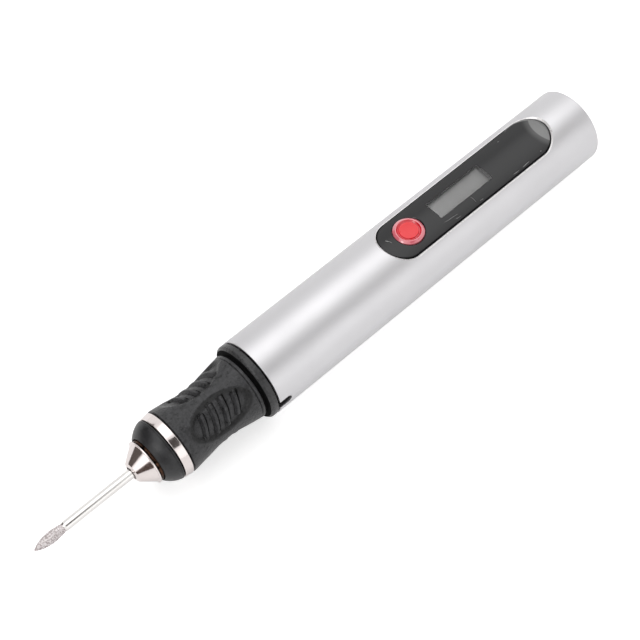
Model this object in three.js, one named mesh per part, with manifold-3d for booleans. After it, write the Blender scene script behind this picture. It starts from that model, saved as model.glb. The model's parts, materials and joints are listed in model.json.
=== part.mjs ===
// Electric engraving pen lying on its side, panel upwards.
// Lengths are in millimetres. The pen's axis runs along X, with the burr towards -X and the tube
// towards +X. Places along the axis are counted from the front edge of the tube, and the whole pen
// is then moved so that the origin lies under its middle, on the surface that it rests on.
import * as THREE from 'three';
import { mergeVertices } from 'three/addons/utils/BufferGeometryUtils.js';
import Module from 'manifold-3d';

const wasm = await Module();
wasm.setup();

// Fits and counts
const seatGap = 0.3;
const boardGap = 0.1;
const weldTolerance = 0.0001;
const overrun = 2;
const tubeSides = 48;
const noseSides = 24;
const turnedSides = 20;
const smallSides = 13;
const gripSides = 30;
const endSteps = 12;
const fullTurn = 360;

// Tube and its window
const tubeRadius = 10;
const tubeWall = 1;
const rimRound = 0.6;
const edgeBreak = 0.2;
const windowFront = 41.5;
const windowLength = 54.9;
const windowRearMargin = 10.6;
const windowWidthShare = 1.19;
const windowFloorDepth = 2.9;
const notchWidth = 2.3;
const notchDepth = 3.4;

// Panel lens, display and button
const lensGap = 0.3;
const lensFloorDepth = 2.6;
const lensCrownDepth = 0.9;
const lensCrownShare = 1.76;
const lensArcSteps = 8;
const displayLength = 20;
const displayWidth = 8.4;
const displayHeight = 1;
const displayWellLength = 17.4;
const displayWellWidth = 5.4;
const displayInset = 25.3;
const buttonInset = 8.4;
const buttonRadius = 3.7;
const buttonTopDepth = 0.15;
const buttonEdgeDepth = 0.9;
const buttonDiscRadius = 2.3;
const buttonGroove = 0.25;
const buttonGrooveWidth = 0.35;
const buttonDome = 0.12;
const buttonBevelWidth = 0.85;
const buttonHoleGap = 0.3;
const flangeRadius = 4.35;
const flangeFloorDepth = 2.8;
const flangeHeight = 0.4;
const flangePocketGap = 0.25;

// Boards, switch and screws
const boardRise = 0.15;
const boardThickness = 0.6;
const switchSize = 4.4;
const switchHeight = 0.5;
const plungerRadius = 0.8;
const plungerSink = 0.25;
const screwRadius = 0.5;
const screwLength = 2.6;
const screwHeadRadius = 1.1;
const screwHeadHeight = 0.5;

// Cell and its cradle
const cellGap = 0.35;
const cellRearSpace = 19.5;
const cellNubRadius = 2.7;
const cellNubLength = 1;
const cellDrop = 1.65;
const tabThickness = 0.3;
const tabWidth = 4;
const tabFoot = 3.5;
const leadBay = 2.2;
const bulkheadThickness = 2.4;
const railHeight = 2.3;
const railThickness = 1.2;
const railShelfHeight = 1.3;
const railShelfReach = 2;

// Rear cap, charge board and socket
const rearCapInset = 0.6;
const rearCapThickness = 2.2;
const rearCapSkirt = 4;
const rearCapSkirtWall = 0.9;
const socketWidth = 8.9;
const socketHeight = 3.2;
const socketLength = 7.4;
const socketInset = 0.8;
const socketWall = 0.35;
const socketArcSteps = 5;
const tongueWidth = 6.6;
const tongueThickness = 0.7;
const tongueLength = 5.6;
const tongueBase = 1.2;
const chargeBoardSideGap = 1.8;
const chargeBoardThickness = 0.8;

// Front collar, grip, trim ring and nose cap
const collarLength = 2.25;
const collarInset = 0.1;
const keyThickness = 1.3;
const gripLength = 20.95;
const gripFrontShare = 0.832;
const gripWaistShare = 0.755;
const gripRearShare = 0.855;
const gripBoreShare = 0.65;
const gripSteps = 8;
const dishLength = 17.6;
const dishWidthShare = 0.94;
const dishDepth = 0.6;
const dishMiddle = 10.15;
const dishTurn = THREE.MathUtils.degToRad(43);
const dishSteps = 12;
const ribSteps = 2;
const ribWidth = 0.95;
const ribPitch = 3;
const ribSlant = 1.75;
const ribBow = 0.35;
const ribSink = 0.1;
const trimRingLength = 2.1;
const trimRingFrontShare = 0.805;
const trimRingRearShare = 0.833;
const noseCapLength = 3.6;
const noseCapFrontShare = 0.59;
const noseCapRearShare = 0.795;
const noseCapLip = 0.35;
const noseCapLipDepth = 0.9;
const noseCapSlope = 0.6;

// Grip core and bearings
const coreSpigotLength = 6.4;
const coreBoreShare = 0.45;
const coreLip = 1.6;
const bearingShare = 0.5;
const bearingBoreShare = 0.3;
const bearingWidth = 3;
const bearingRingWall = 0.65;
const cageWidthShare = 0.5;
const ballCount = 5;
const ballSides = 6;
const ballRings = 3;
const cageThickness = 0.3;
const ballGap = 0.02;
const rearBearingPlace = -8.9;
const retainerShare = 0.53;
const retainerBoreShare = 0.395;
const retainerLength = 1.9;

// Spindle, collet and nut
const spindleFlangeShare = 0.365;
const spindleFlangeLength = 2;
const spindleNoseRadius = 3;
const spindleNoseLength = 1.95;
const spindleNoseBore = 2.2;
const spindleBore = 1.5;
const spindleRear = -5.5;
const spindleStubRadius = 1.2;
const spindleStubLength = 3.4;
const colletHeadRadius = 2.6;
const colletBodyRadius = 1.9;
const colletLength = 5.2;
const colletSlit = 0.4;
const colletSlitLength = 3.6;
const colletSlits = 3;
const shankGap = 0.12;
const nutLength = 4.05;
const nutRimShare = 0.56;
const nutRimLength = 0.3;
const nutConeShare = 0.52;
const nutFrontRadius = 2.05;
const nutShoulderRadius = 2.6;
const nutShoulderLength = 0.3;
const nutConeBulge = 0.18;
const nutLandRadius = 1.6;
const nutLandLength = 0.5;
const nutSeatRadius = 1.85;
const nutConeSteps = 5;
const nutPlace = -30.95;

// Burr
const shankRadius = 1.175;
const burrLength = 44.5;
const headLength = 7.9;
const headRadius = 1.42;
const burrTipPlace = -61.5;
const shankChamfer = 0.3;

// Motor and coupling
const motorGap = 1.25;
const motorLength = 23;
const motorWall = 0.8;
const motorBossRadius = 3;
const motorBossLength = 1;
const motorShaftRadius = 1;
const endBellThickness = 2;
const endBellSpigot = 1.4;
const magnetThickness = 1.35;
const magnetFrontGap = 1;
const magnetLength = 15;
const magnetSpan = THREE.MathUtils.degToRad(125);
const magnetSteps = 10;
const armatureGap = 0.4;
const armaturePoles = 3;
const armatureLength = 11;
const armatureSlot = 1.3;
const armatureHubRadius = 2.6;
const commutatorRadius = 2.1;
const commutatorLength = 3.5;
const brushWidth = 1.6;
const brushThickness = 0.6;
const brushLength = 6.5;
const couplingRadius = 3.2;
const couplingWeb = 1;
const couplingGrip = 3.4;

// Leads
const leadRadius = 0.45;
const leadSpreadShare = 0.23;
const motorLeadSpread = 4;
const motorLeadDrop = 1;
const leadReach = 3;
const chargeLeadReach = 4;
const leadSides = 6;
const leadSteps = 10;

// Sizes across the pen, worked out from the tube's
const tubeBore = tubeRadius - tubeWall;
const windowWidth = windowWidthShare * tubeRadius;
const windowFloor = tubeRadius - windowFloorDepth;
const lensFloor = tubeRadius - lensFloorDepth;
const lensCrownHeight = tubeRadius - lensCrownDepth;
const lensCrownRadius = lensCrownShare * tubeRadius;
const buttonTop = tubeRadius - buttonTopDepth;
const buttonEdge = tubeRadius - buttonEdgeDepth;
const flangeFloor = tubeRadius - flangeFloorDepth;
const cellRadius = tubeBore - cellDrop - cellGap;
const boardFloor = cellRadius - cellDrop + boardRise;
const bulkheadRadius = tubeBore - seatGap;
const bulkheadTop = boardFloor - seatGap;
const railFoot = bulkheadTop - railHeight;
const railStep = bulkheadTop - railShelfHeight;
const railOuter = Math.sqrt(bulkheadRadius ** 2 - bulkheadTop ** 2) - boardGap;
const railInner = railOuter - railThickness;
const railShelf = railOuter - railShelfReach;
const boardWidth = 2 * railInner;
const leadSpread = leadSpreadShare * boardWidth;
const rearCapRadius = tubeBore - seatGap;
const chargeBoardWidth = 2 * (rearCapRadius - rearCapSkirtWall - chargeBoardSideGap);
const collarNeckRadius = tubeBore - seatGap;
const gripFrontRadius = gripFrontShare * tubeRadius;
const gripWaistRadius = gripWaistShare * tubeRadius;
const gripRearRadius = gripRearShare * tubeRadius;
const gripBore = gripBoreShare * tubeRadius;
const dishWidth = dishWidthShare * tubeRadius;
const trimRingFrontRadius = trimRingFrontShare * tubeRadius;
const trimRingRearRadius = trimRingRearShare * tubeRadius;
const noseCapFrontRadius = noseCapFrontShare * tubeRadius;
const noseCapRearRadius = noseCapRearShare * tubeRadius;
const coreRadius = gripBore - seatGap;
const coreSpigotRadius = tubeBore - seatGap;
const coreBore = coreBoreShare * tubeRadius;
const bearingRadius = bearingShare * tubeRadius;
const bearingBore = bearingBoreShare * tubeRadius;
const ballRadius = (bearingRadius - bearingBore) / 2 - bearingRingWall - ballGap;
const retainerRadius = retainerShare * tubeRadius;
const retainerBore = retainerBoreShare * tubeRadius;
const journalRadius = bearingBore - seatGap;
const spindleFlangeRadius = spindleFlangeShare * tubeRadius;
const nutRimRadius = nutRimShare * tubeRadius;
const nutConeRadius = nutConeShare * tubeRadius;
const motorRadius = tubeBore - motorGap;
const armatureRadius = motorRadius - motorWall - seatGap - magnetThickness - armatureGap;

// Places along the axis, worked out from the sizes above
const tubeLength = windowFront + windowLength + windowRearMargin;
const buttonPlace = windowFront + buttonInset;
const displayMiddle = windowFront + displayInset;
const collarRear = -seatGap;
const collarFront = collarRear - collarLength;
const gripRear = collarFront - seatGap;
const gripFront = gripRear - gripLength;
const trimRingRear = gripFront - seatGap;
const trimRingFront = trimRingRear - trimRingLength;
const noseCapRear = trimRingFront - seatGap;
const noseCapFront = noseCapRear - noseCapLength;
const retainerFront = nutPlace + seatGap;
const retainerRear = retainerFront + retainerLength;
const coreFront = retainerRear + seatGap;
const frontBearingPlace = coreFront + seatGap;
const spindleFlangeFront = nutPlace + seatGap;
const spindleNoseFront = spindleFlangeFront - spindleNoseLength;
const nutFront = nutPlace - nutLength;
const colletFront = nutFront + nutLandLength + boardGap;
const colletHeadRear = spindleNoseFront - seatGap;
const motorFront = coreSpigotLength + seatGap;
const motorRear = motorFront + motorLength;
const endBellFront = motorRear + seatGap;
const endBellRear = endBellFront + endBellThickness;
const cradleFront = endBellRear + leadBay;
const bulkheadFrontRear = cradleFront + bulkheadThickness;
const cellFront = bulkheadFrontRear + 2 * seatGap + tabThickness;
const cellRear = tubeLength - cellRearSpace;
const rearBulkheadFront = cellRear + 2 * seatGap + tabThickness;
const rearBulkheadRear = rearBulkheadFront + bulkheadThickness;
const boardFront = cradleFront + seatGap;
const boardRear = rearBulkheadRear - seatGap;
const boardTop = boardFloor + boardThickness;
const switchFloor = boardTop + boardGap;
const switchTop = switchFloor + switchHeight;
const rearCapRear = tubeLength - rearCapInset;
const rearCapFront = rearCapRear - rearCapThickness;
const socketRear = rearCapRear - socketInset;
const socketFront = socketRear - socketLength;
const chargeBoardTop = -socketHeight / 2 - seatGap;
const tubeFlatRadius = tubeRadius * Math.cos(Math.PI / tubeSides);

// Finishes
const finishes = {
  satinAluminium: { color: 0xd2d2d6, roughness: 0.42, metalness: 0.9 },
  glossBlack: { color: 0x1c1c1e, roughness: 0.08, metalness: 0 },
  displayGrey: { color: 0x8a8a8a, roughness: 0.25, metalness: 0 },
  buttonRed: { color: 0xe8383c, roughness: 0.3, metalness: 0 },
  blackPlastic: { color: 0x2c2c2e, roughness: 0.6, metalness: 0 },
  blackRubber: { color: 0x38383a, roughness: 0.85, metalness: 0 },
  satinBlack: { color: 0x242426, roughness: 0.35, metalness: 0 },
  chrome: { color: 0xe6e0de, roughness: 0.06, metalness: 1 },
  brass: { color: 0x9c6a3c, roughness: 0.3, metalness: 1 },
  groundSteel: { color: 0xb8b8bc, roughness: 0.25, metalness: 1 },
  diamondGrit: { color: 0xa8a2a6, roughness: 0.5, metalness: 0.7 },
  zincSteel: { color: 0xa2a4a6, roughness: 0.4, metalness: 1 },
  greyPlastic: { color: 0x6c6e70, roughness: 0.6, metalness: 0 },
  circuitGreen: { color: 0x1f5a34, roughness: 0.5, metalness: 0 },
  cellWrap: { color: 0x2a62b8, roughness: 0.4, metalness: 0 },
  nickel: { color: 0xc4c0b4, roughness: 0.3, metalness: 1 },
  ferrite: { color: 0x3a3a3c, roughness: 0.8, metalness: 0.1 },
  laminate: { color: 0x7c7c80, roughness: 0.5, metalness: 0.9 },
  copper: { color: 0xb8704a, roughness: 0.35, metalness: 1 },
  carbon: { color: 0x262626, roughness: 0.7, metalness: 0.1 },
  redLead: { color: 0xb02020, roughness: 0.5, metalness: 0 },
  blackLead: { color: 0x1a1a1a, roughness: 0.5, metalness: 0 },
};

// Geometry helpers

// Merges shared corners and keeps only positions.
function weld(geometry) {
  const bare = geometry.clone();
  bare.deleteAttribute('normal');
  bare.deleteAttribute('uv');
  return mergeVertices(bare, weldTolerance);
}

// A closed geometry as a solid for joining and cutting.
function solid(geometry) {
  const bare = weld(geometry);
  const index = Array.from(bare.index.array);
  const place = bare.attributes.position.array;
  const kept = [];
  for (let i = 0; i < index.length; i += 3) {
    const [a, b, c] = index.slice(i, i + 3);
    if (a !== b && b !== c && c !== a) {
      kept.push(a, b, c);
    }
  }
  return new wasm.Manifold(new wasm.Mesh({
    numProp: 3,
    vertProperties: new Float32Array(place),
    triVerts: new Uint32Array(kept),
  }));
}

// A solid as a geometry.
function geometryOf(body) {
  const mesh = body.getMesh();
  const geometry = new THREE.BufferGeometry();
  const places = [];
  for (let i = 0; i < mesh.numVert; i += 1) {
    for (let k = 0; k < 3; k += 1) {
      places.push(mesh.vertProperties[i * mesh.numProp + k]);
    }
  }
  geometry.setAttribute('position', new THREE.Float32BufferAttribute(places, 3));
  geometry.setIndex(Array.from(mesh.triVerts));
  return geometry;
}

// Turns a profile of [place along X, radius] about the X axis. The outer side runs towards +X.
function turned(profile, sides = turnedSides) {
  const points = profile.map(([place, radius]) => new THREE.Vector2(radius, place));
  const geometry = new THREE.LatheGeometry(points, sides, Math.PI / sides);
  return geometry.rotateZ(-Math.PI / 2);
}

// A turned ring of plain rectangular section.
function ring(front, rear, outer, inner, sides = turnedSides) {
  return turned([[front, inner], [front, outer], [rear, outer], [rear, inner], [front, inner]], sides);
}

// A turned rod of plain section.
function rod(front, rear, radius, sides = turnedSides) {
  return turned([[front, 0], [front, radius], [rear, radius], [rear, 0]], sides);
}

// A box between two corners.
function block(low, high) {
  const size = high.map((value, i) => value - low[i]);
  const middle = high.map((value, i) => (value + low[i]) / 2);
  return new THREE.BoxGeometry(...size).translate(...middle);
}

// Extrudes an outline drawn in (x, y) upwards from one height to another.
function raised(shape, floor, top, steps = endSteps) {
  const geometry = new THREE.ExtrudeGeometry(shape, {
    depth: top - floor,
    bevelEnabled: false,
    curveSegments: steps,
  });
  return geometry.translate(0, 0, floor);
}

// Extrudes an outline drawn in (y, z) along X.
function drawnOut(shape, front, rear, steps = endSteps) {
  const geometry = raised(shape, front, rear, steps);
  const turn = new THREE.Matrix4().makeBasis(
    new THREE.Vector3(0, 1, 0),
    new THREE.Vector3(0, 0, 1),
    new THREE.Vector3(1, 0, 0),
  );
  return geometry.applyMatrix4(turn);
}

// A stadium outline along the first axis, with half-round ends.
function stadium(from, length, width) {
  const half = width / 2;
  const shape = new THREE.Shape();
  shape.absarc(from + half, 0, half, Math.PI / 2, 1.5 * Math.PI, false);
  shape.absarc(from + length - half, 0, half, 1.5 * Math.PI, 2.5 * Math.PI, false);
  return shape;
}

// A closed outline from corner points.
function outline(corners) {
  return new THREE.Shape(corners.map(([a, b]) => new THREE.Vector2(a, b)));
}

// An upright turned post about a vertical axis through one place, from [height, radius] points.
function post(profile, place, sides = turnedSides) {
  const points = profile.map(([height, radius]) => new THREE.Vector2(radius, height));
  const geometry = new THREE.LatheGeometry(points, sides);
  return geometry.rotateX(Math.PI / 2).translate(place, 0, 0);
}

const pen = new THREE.Group();

// Adds one named piece to a group.
function add(name, geometry, finish, group = pen) {
  const mesh = new THREE.Mesh(geometry, new THREE.MeshStandardMaterial(finishes[finish]));
  mesh.name = name;
  group.add(mesh);
  return mesh;
}

// Tube

function bodyTube() {
  const bore = tubeRadius - tubeWall;
  const shell = solid(turned([
    [0, bore],
    [0, tubeRadius - edgeBreak],
    [edgeBreak, tubeRadius],
    [tubeLength - rimRound, tubeRadius],
    [tubeLength - rimRound / 3, tubeRadius - rimRound / 3],
    [tubeLength, tubeRadius - rimRound],
    [tubeLength, bore],
    [0, bore],
  ], tubeSides));
  const opening = solid(raised(
    stadium(windowFront, windowLength, windowWidth),
    windowFloor,
    tubeRadius + overrun,
  ));
  const notchEnd = notchDepth - notchWidth / 2;
  const notch = new THREE.Shape();
  notch.moveTo(-overrun, -notchWidth / 2);
  notch.lineTo(notchEnd, -notchWidth / 2);
  notch.absarc(notchEnd, 0, notchWidth / 2, -Math.PI / 2, Math.PI / 2, false);
  notch.lineTo(-overrun, notchWidth / 2);
  const slot = solid(raised(notch, bore / 2, tubeRadius + overrun).rotateX(Math.PI / 2));
  return geometryOf(shell.subtract(opening).subtract(slot));
}
add('body_tube', bodyTube(), 'satinAluminium');

// Panel lens, crowned across its width, with a hole and an inner pocket for the button and a well
// over the display

function panelLens() {
  const front = windowFront + lensGap;
  const length = windowLength - 2 * lensGap;
  const width = windowWidth - 2 * lensGap;
  const crown = new THREE.Shape();
  const half = windowWidth / 2;
  const centre = lensCrownHeight - lensCrownRadius;
  const span = Math.asin(half / lensCrownRadius);
  crown.moveTo(-half, lensFloor);
  crown.lineTo(half, lensFloor);
  crown.absarc(0, centre, lensCrownRadius, Math.PI / 2 - span, Math.PI / 2 + span, false);
  const bar = solid(drawnOut(crown, front - overrun, front + length + overrun, lensArcSteps));
  const blank = solid(raised(stadium(front, length, width), lensFloor / 2, lensCrownHeight + overrun));
  const hole = buttonRadius + buttonHoleGap;
  const pocket = flangeRadius + flangePocketGap;
  const pocketTop = flangeFloor + flangeHeight + flangePocketGap;
  const cut = solid(post([
    [lensFloor / 2, 0],
    [lensFloor / 2, pocket],
    [pocketTop, pocket],
    [pocketTop, hole],
    [lensCrownHeight + overrun, hole],
    [lensCrownHeight + overrun, 0],
  ], buttonPlace));
  const well = solid(block(
    [displayMiddle - displayWellLength / 2, -displayWellWidth / 2, lensFloor - overrun],
    [displayMiddle + displayWellLength / 2, displayWellWidth / 2, lensCrownHeight + overrun],
  ));
  return geometryOf(bar.intersect(blank).subtract(cut).subtract(well));
}
add('panel_lens', panelLens(), 'glossBlack');

function displayModule() {
  const floor = boardTop + boardGap;
  return block(
    [displayMiddle - displayLength / 2, -displayWidth / 2, floor],
    [displayMiddle + displayLength / 2, displayWidth / 2, floor + displayHeight],
  );
}
add('display_module', displayModule(), 'displayGrey');

// Button with a bevelled rim, a ring groove and a domed middle disc

function powerButton() {
  const flangeTop = flangeFloor + flangeHeight;
  const rim = buttonRadius - buttonBevelWidth;
  const grooveRadius = buttonDiscRadius + buttonGrooveWidth;
  return post([
    [flangeFloor, 0],
    [flangeFloor, flangeRadius],
    [flangeTop, flangeRadius],
    [flangeTop, buttonRadius],
    [buttonEdge, buttonRadius],
    [buttonTop, rim],
    [buttonTop - buttonGroove, grooveRadius],
    [buttonTop - buttonGroove, buttonDiscRadius],
    [buttonTop, buttonDiscRadius - buttonGroove / 2],
    [buttonTop + buttonDome, 0],
  ], buttonPlace, noseSides);
}
add('power_button', powerButton(), 'buttonRed');

// Main board, switch and screws

function mainBoard() {
  return block(
    [boardFront, -boardWidth / 2, boardFloor],
    [boardRear, boardWidth / 2, boardTop],
  );
}

function switchBase() {
  const half = switchSize / 2;
  const body = solid(block(
    [buttonPlace - half, -half, switchFloor],
    [buttonPlace + half, half, switchTop],
  ));
  const hole = solid(post([
    [switchFloor - overrun, 0],
    [switchFloor - overrun, plungerRadius + seatGap],
    [switchTop + overrun, plungerRadius + seatGap],
    [switchTop + overrun, 0],
  ], buttonPlace, smallSides));
  return geometryOf(body.subtract(hole));
}

function switchPlunger() {
  const foot = switchTop - plungerSink;
  const head = flangeFloor - boardGap;
  return post([
    [foot, 0],
    [foot, plungerRadius],
    [head, plungerRadius],
    [head, 0],
  ], buttonPlace, smallSides);
}

const screwPlaces = [cradleFront + bulkheadThickness / 2, rearBulkheadFront + bulkheadThickness / 2];

// A board screw whose head rests on the board and whose shank runs into a bulkhead.
function boardScrew(place) {
  const seat = boardTop + boardGap;
  return post([
    [seat - screwLength, 0],
    [seat - screwLength, screwRadius],
    [seat, screwRadius],
    [seat, screwHeadRadius],
    [seat + screwHeadHeight, screwHeadRadius],
    [seat + screwHeadHeight, 0],
  ], place, smallSides);
}

// A hole for one board screw.
function screwHole(place) {
  const radius = screwRadius + boardGap;
  return solid(post([
    [bulkheadTop - screwLength, 0],
    [bulkheadTop - screwLength, radius],
    [boardTop + overrun, radius],
    [boardTop + overrun, 0],
  ], place, smallSides));
}

function drilledBoard() {
  let body = solid(mainBoard());
  for (const place of screwPlaces) {
    body = body.subtract(screwHole(place));
  }
  return geometryOf(body);
}
add('main_board', drilledBoard(), 'circuitGreen');
add('switch_base', switchBase(), 'zincSteel');
add('switch_plunger', switchPlunger(), 'blackPlastic');
add('board_screw_front', boardScrew(screwPlaces[0]), 'zincSteel');
add('board_screw_rear', boardScrew(screwPlaces[1]), 'zincSteel');

// Cell, nickel tabs and the cradle of two bulkheads and two rails

function batteryCell() {
  const shoulder = cellFront + cellNubLength;
  return turned([
    [cellFront, 0],
    [cellFront, cellNubRadius],
    [shoulder, cellNubRadius],
    [shoulder, cellRadius],
    [cellRear, cellRadius],
    [cellRear, 0],
  ]).translate(0, 0, -cellDrop);
}

// A nickel tab that rises from one end of the cell to the underside of the main board.
function cellTab(front) {
  return block(
    [front, -tabWidth / 2, -cellDrop - tabFoot],
    [front + tabThickness, tabWidth / 2, boardFloor - boardGap],
  );
}

function batteryCradle() {
  const flat = solid(block(
    [0, -tubeRadius, -tubeRadius],
    [tubeLength, tubeRadius, bulkheadTop],
  ));
  const frontHead = solid(rod(cradleFront, bulkheadFrontRear, bulkheadRadius));
  const rearHead = solid(rod(rearBulkheadFront, rearBulkheadRear, bulkheadRadius));
  let body = frontHead.add(rearHead).intersect(flat);
  for (const side of [-1, 1]) {
    const section = outline([
      [side * railInner, railFoot],
      [side * railOuter, railFoot],
      [side * railOuter, bulkheadTop],
      [side * railShelf, bulkheadTop],
      [side * railShelf, railStep],
      [side * railInner, railStep],
    ]);
    const overlap = bulkheadThickness / 2;
    body = body.add(solid(drawnOut(section, bulkheadFrontRear - overlap, rearBulkheadFront + overlap)));
  }
  for (const place of screwPlaces) {
    body = body.subtract(screwHole(place));
  }
  return geometryOf(body);
}
add('battery_cell', batteryCell(), 'cellWrap');
add('cell_tab_front', cellTab(bulkheadFrontRear + seatGap), 'nickel');
add('cell_tab_rear', cellTab(cellRear + seatGap), 'nickel');
add('battery_cradle', batteryCradle(), 'greyPlastic');

// Rear cap with the slot of the charging socket

// A rounded slot outline, wide along Y, as a socket has.
function slotOutline(width, height) {
  const half = height / 2;
  const reach = width / 2 - half;
  const shape = new THREE.Shape();
  shape.absarc(reach, 0, half, -Math.PI / 2, Math.PI / 2, false);
  shape.absarc(-reach, 0, half, Math.PI / 2, 1.5 * Math.PI, false);
  return shape;
}

function rearCap() {
  const skirtFront = rearCapFront - rearCapSkirt;
  const inner = rearCapRadius - rearCapSkirtWall;
  const body = solid(turned([
    [skirtFront, inner],
    [skirtFront, rearCapRadius],
    [rearCapRear - edgeBreak, rearCapRadius],
    [rearCapRear, rearCapRadius - edgeBreak],
    [rearCapRear, 0],
    [rearCapFront, 0],
    [rearCapFront, inner],
    [skirtFront, inner],
  ]));
  const slot = slotOutline(socketWidth + 2 * seatGap, socketHeight + 2 * seatGap);
  const through = solid(drawnOut(slot, rearCapFront - overrun, rearCapRear + overrun, socketArcSteps));
  return geometryOf(body.subtract(through));
}

function chargeSocketShell() {
  const skin = slotOutline(socketWidth, socketHeight);
  const outer = solid(drawnOut(skin, socketFront, socketRear, socketArcSteps));
  const hollow = slotOutline(socketWidth - 2 * socketWall, socketHeight - 2 * socketWall);
  const bore = solid(drawnOut(hollow, socketFront + socketWall, socketRear + overrun, socketArcSteps));
  return geometryOf(outer.subtract(bore));
}

function chargeSocketTongue() {
  const foot = socketFront + socketWall + boardGap;
  const wide = slotOutline(
    socketWidth - 2 * socketWall - 2 * boardGap,
    socketHeight - 2 * socketWall - 2 * boardGap,
  );
  const base = solid(drawnOut(wide, foot, foot + tongueBase, socketArcSteps));
  const blade = solid(block(
    [foot + tongueBase / 2, -tongueWidth / 2, -tongueThickness / 2],
    [foot + tongueLength, tongueWidth / 2, tongueThickness / 2],
  ));
  return geometryOf(base.add(blade));
}

function chargeBoard() {
  return block(
    [rearBulkheadRear + seatGap, -chargeBoardWidth / 2, chargeBoardTop - chargeBoardThickness],
    [rearCapFront - seatGap, chargeBoardWidth / 2, chargeBoardTop],
  );
}
add('rear_cap', rearCap(), 'blackPlastic');
add('charge_board', chargeBoard(), 'circuitGreen');
add('charge_socket_shell', chargeSocketShell(), 'zincSteel');
add('charge_socket_tongue', chargeSocketTongue(), 'blackPlastic');

// Front collar with the key that sits in the tube's notch

function frontCollar() {
  const outer = tubeRadius - collarInset;
  const step = (outer - collarNeckRadius) / 3;
  const body = solid(turned([
    [collarFront, gripBore],
    [collarFront, collarNeckRadius],
    [collarFront + step, collarNeckRadius + 2 * step],
    [collarFront + 3 * step, outer],
    [collarRear - edgeBreak, outer],
    [collarRear, outer - edgeBreak],
    [collarRear, gripBore],
    [collarFront, gripBore],
  ], tubeSides));
  const half = notchWidth / 2 - seatGap;
  const keyEnd = notchDepth - seatGap - half;
  const key = new THREE.Shape();
  key.moveTo(collarRear - keyThickness, -half);
  key.lineTo(keyEnd, -half);
  key.absarc(keyEnd, 0, half, -Math.PI / 2, Math.PI / 2, false);
  key.lineTo(collarRear - keyThickness, half);
  const inner = tubeRadius - tubeWall + boardGap;
  const bar = solid(raised(key, inner, outer - edgeBreak).rotateX(Math.PI / 2));
  return geometryOf(body.add(bar));
}
add('front_collar', frontCollar(), 'blackPlastic');

// Rubber grip: a waisted sleeve with four oval dishes, each with four slanted ribs

// Places along the sleeve from its front, and how far the radius has gone there: from the front to
// the waist in the front half, and from the rear to the waist in the rear half.
const gripPlaceShares = [0, 0.17, 0.37, 0.57, 0.8, 1];
const gripWaistShares = [0, 0.5, 1, 1, 0.55, 0];
const gripCurve = new THREE.SplineCurve(gripPlaceShares.map((share, i) => {
  const end = i < gripPlaceShares.length / 2 ? gripFrontRadius : gripRearRadius;
  const radius = end + (gripWaistRadius - end) * gripWaistShares[i];
  return new THREE.Vector2(gripFront + gripLength * share, radius);
}));

// The sleeve's outer surface, lowered by a depth, as a turned solid that is full inside.
function gripBody(depth, steps) {
  const points = gripCurve.getSpacedPoints(steps).map((point) => [point.x, point.y - depth]);
  return turned([[points[0][0], 0], ...points, [points[points.length - 1][0], 0]], gripSides);
}

// A slanted, slightly bowed rib across a dish; side gives the way that it slants.
function ribOutline(middle, reach, side) {
  const half = ribWidth / 2;
  const lean = (ribSlant / 2) * side;
  const shape = new THREE.Shape();
  shape.moveTo(middle - half + lean, reach);
  shape.quadraticCurveTo(middle - half + ribBow, 0, middle - half - lean, -reach);
  shape.lineTo(middle + half - lean, -reach);
  shape.quadraticCurveTo(middle + half + ribBow, 0, middle + half + lean, reach);
  return shape;
}

const ribReachShare = [0.62, 0.78, 0.78, 0.62];
const dishTurns = [dishTurn, -dishTurn, Math.PI - dishTurn, dishTurn - Math.PI];

function rubberGrip() {
  const outer = solid(gripBody(0, gripSteps));
  const floor = solid(gripBody(dishDepth, gripSteps));
  const ribTop = solid(gripBody(ribSink, gripSteps));
  const bore = solid(rod(gripFront - overrun, gripRear + overrun, gripBore, gripSides));
  const middle = gripRear - dishMiddle;
  const oval = new THREE.Shape();
  oval.absellipse(middle, 0, dishLength / 2, dishWidth / 2, 0, 2 * Math.PI, false);
  let body = outer;
  dishTurns.forEach((turn, i) => {
    const side = i % 2 === 0 ? -1 : 1;
    const lift = (shape) => solid(
      raised(shape, gripBore / 2, gripRearRadius + overrun, dishSteps).rotateX(turn),
    );
    body = body.subtract(lift(oval).subtract(floor));
    ribReachShare.forEach((share, k) => {
      const place = middle + (k - (ribReachShare.length - 1) / 2) * ribPitch;
      const rib = solid(
        raised(ribOutline(place, (share * dishWidth) / 2, side), gripBore / 2, gripRearRadius, ribSteps)
          .rotateX(turn),
      );
      body = body.add(rib.intersect(ribTop));
    });
  });
  return geometryOf(body.subtract(bore));
}
add('rubber_grip', rubberGrip(), 'blackRubber');

// Trim ring and nose cap

function trimRing() {
  return turned([
    [trimRingFront, gripBore],
    [trimRingFront, trimRingFrontRadius - edgeBreak / 2],
    [trimRingFront + edgeBreak / 2, trimRingFrontRadius],
    [trimRingRear - edgeBreak / 2, trimRingRearRadius],
    [trimRingRear, trimRingRearRadius - edgeBreak / 2],
    [trimRingRear, gripBore],
    [trimRingFront, gripBore],
  ], noseSides);
}
add('trim_ring', trimRing(), 'chrome');

const capBendShares = [0.4, 0.75];

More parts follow.
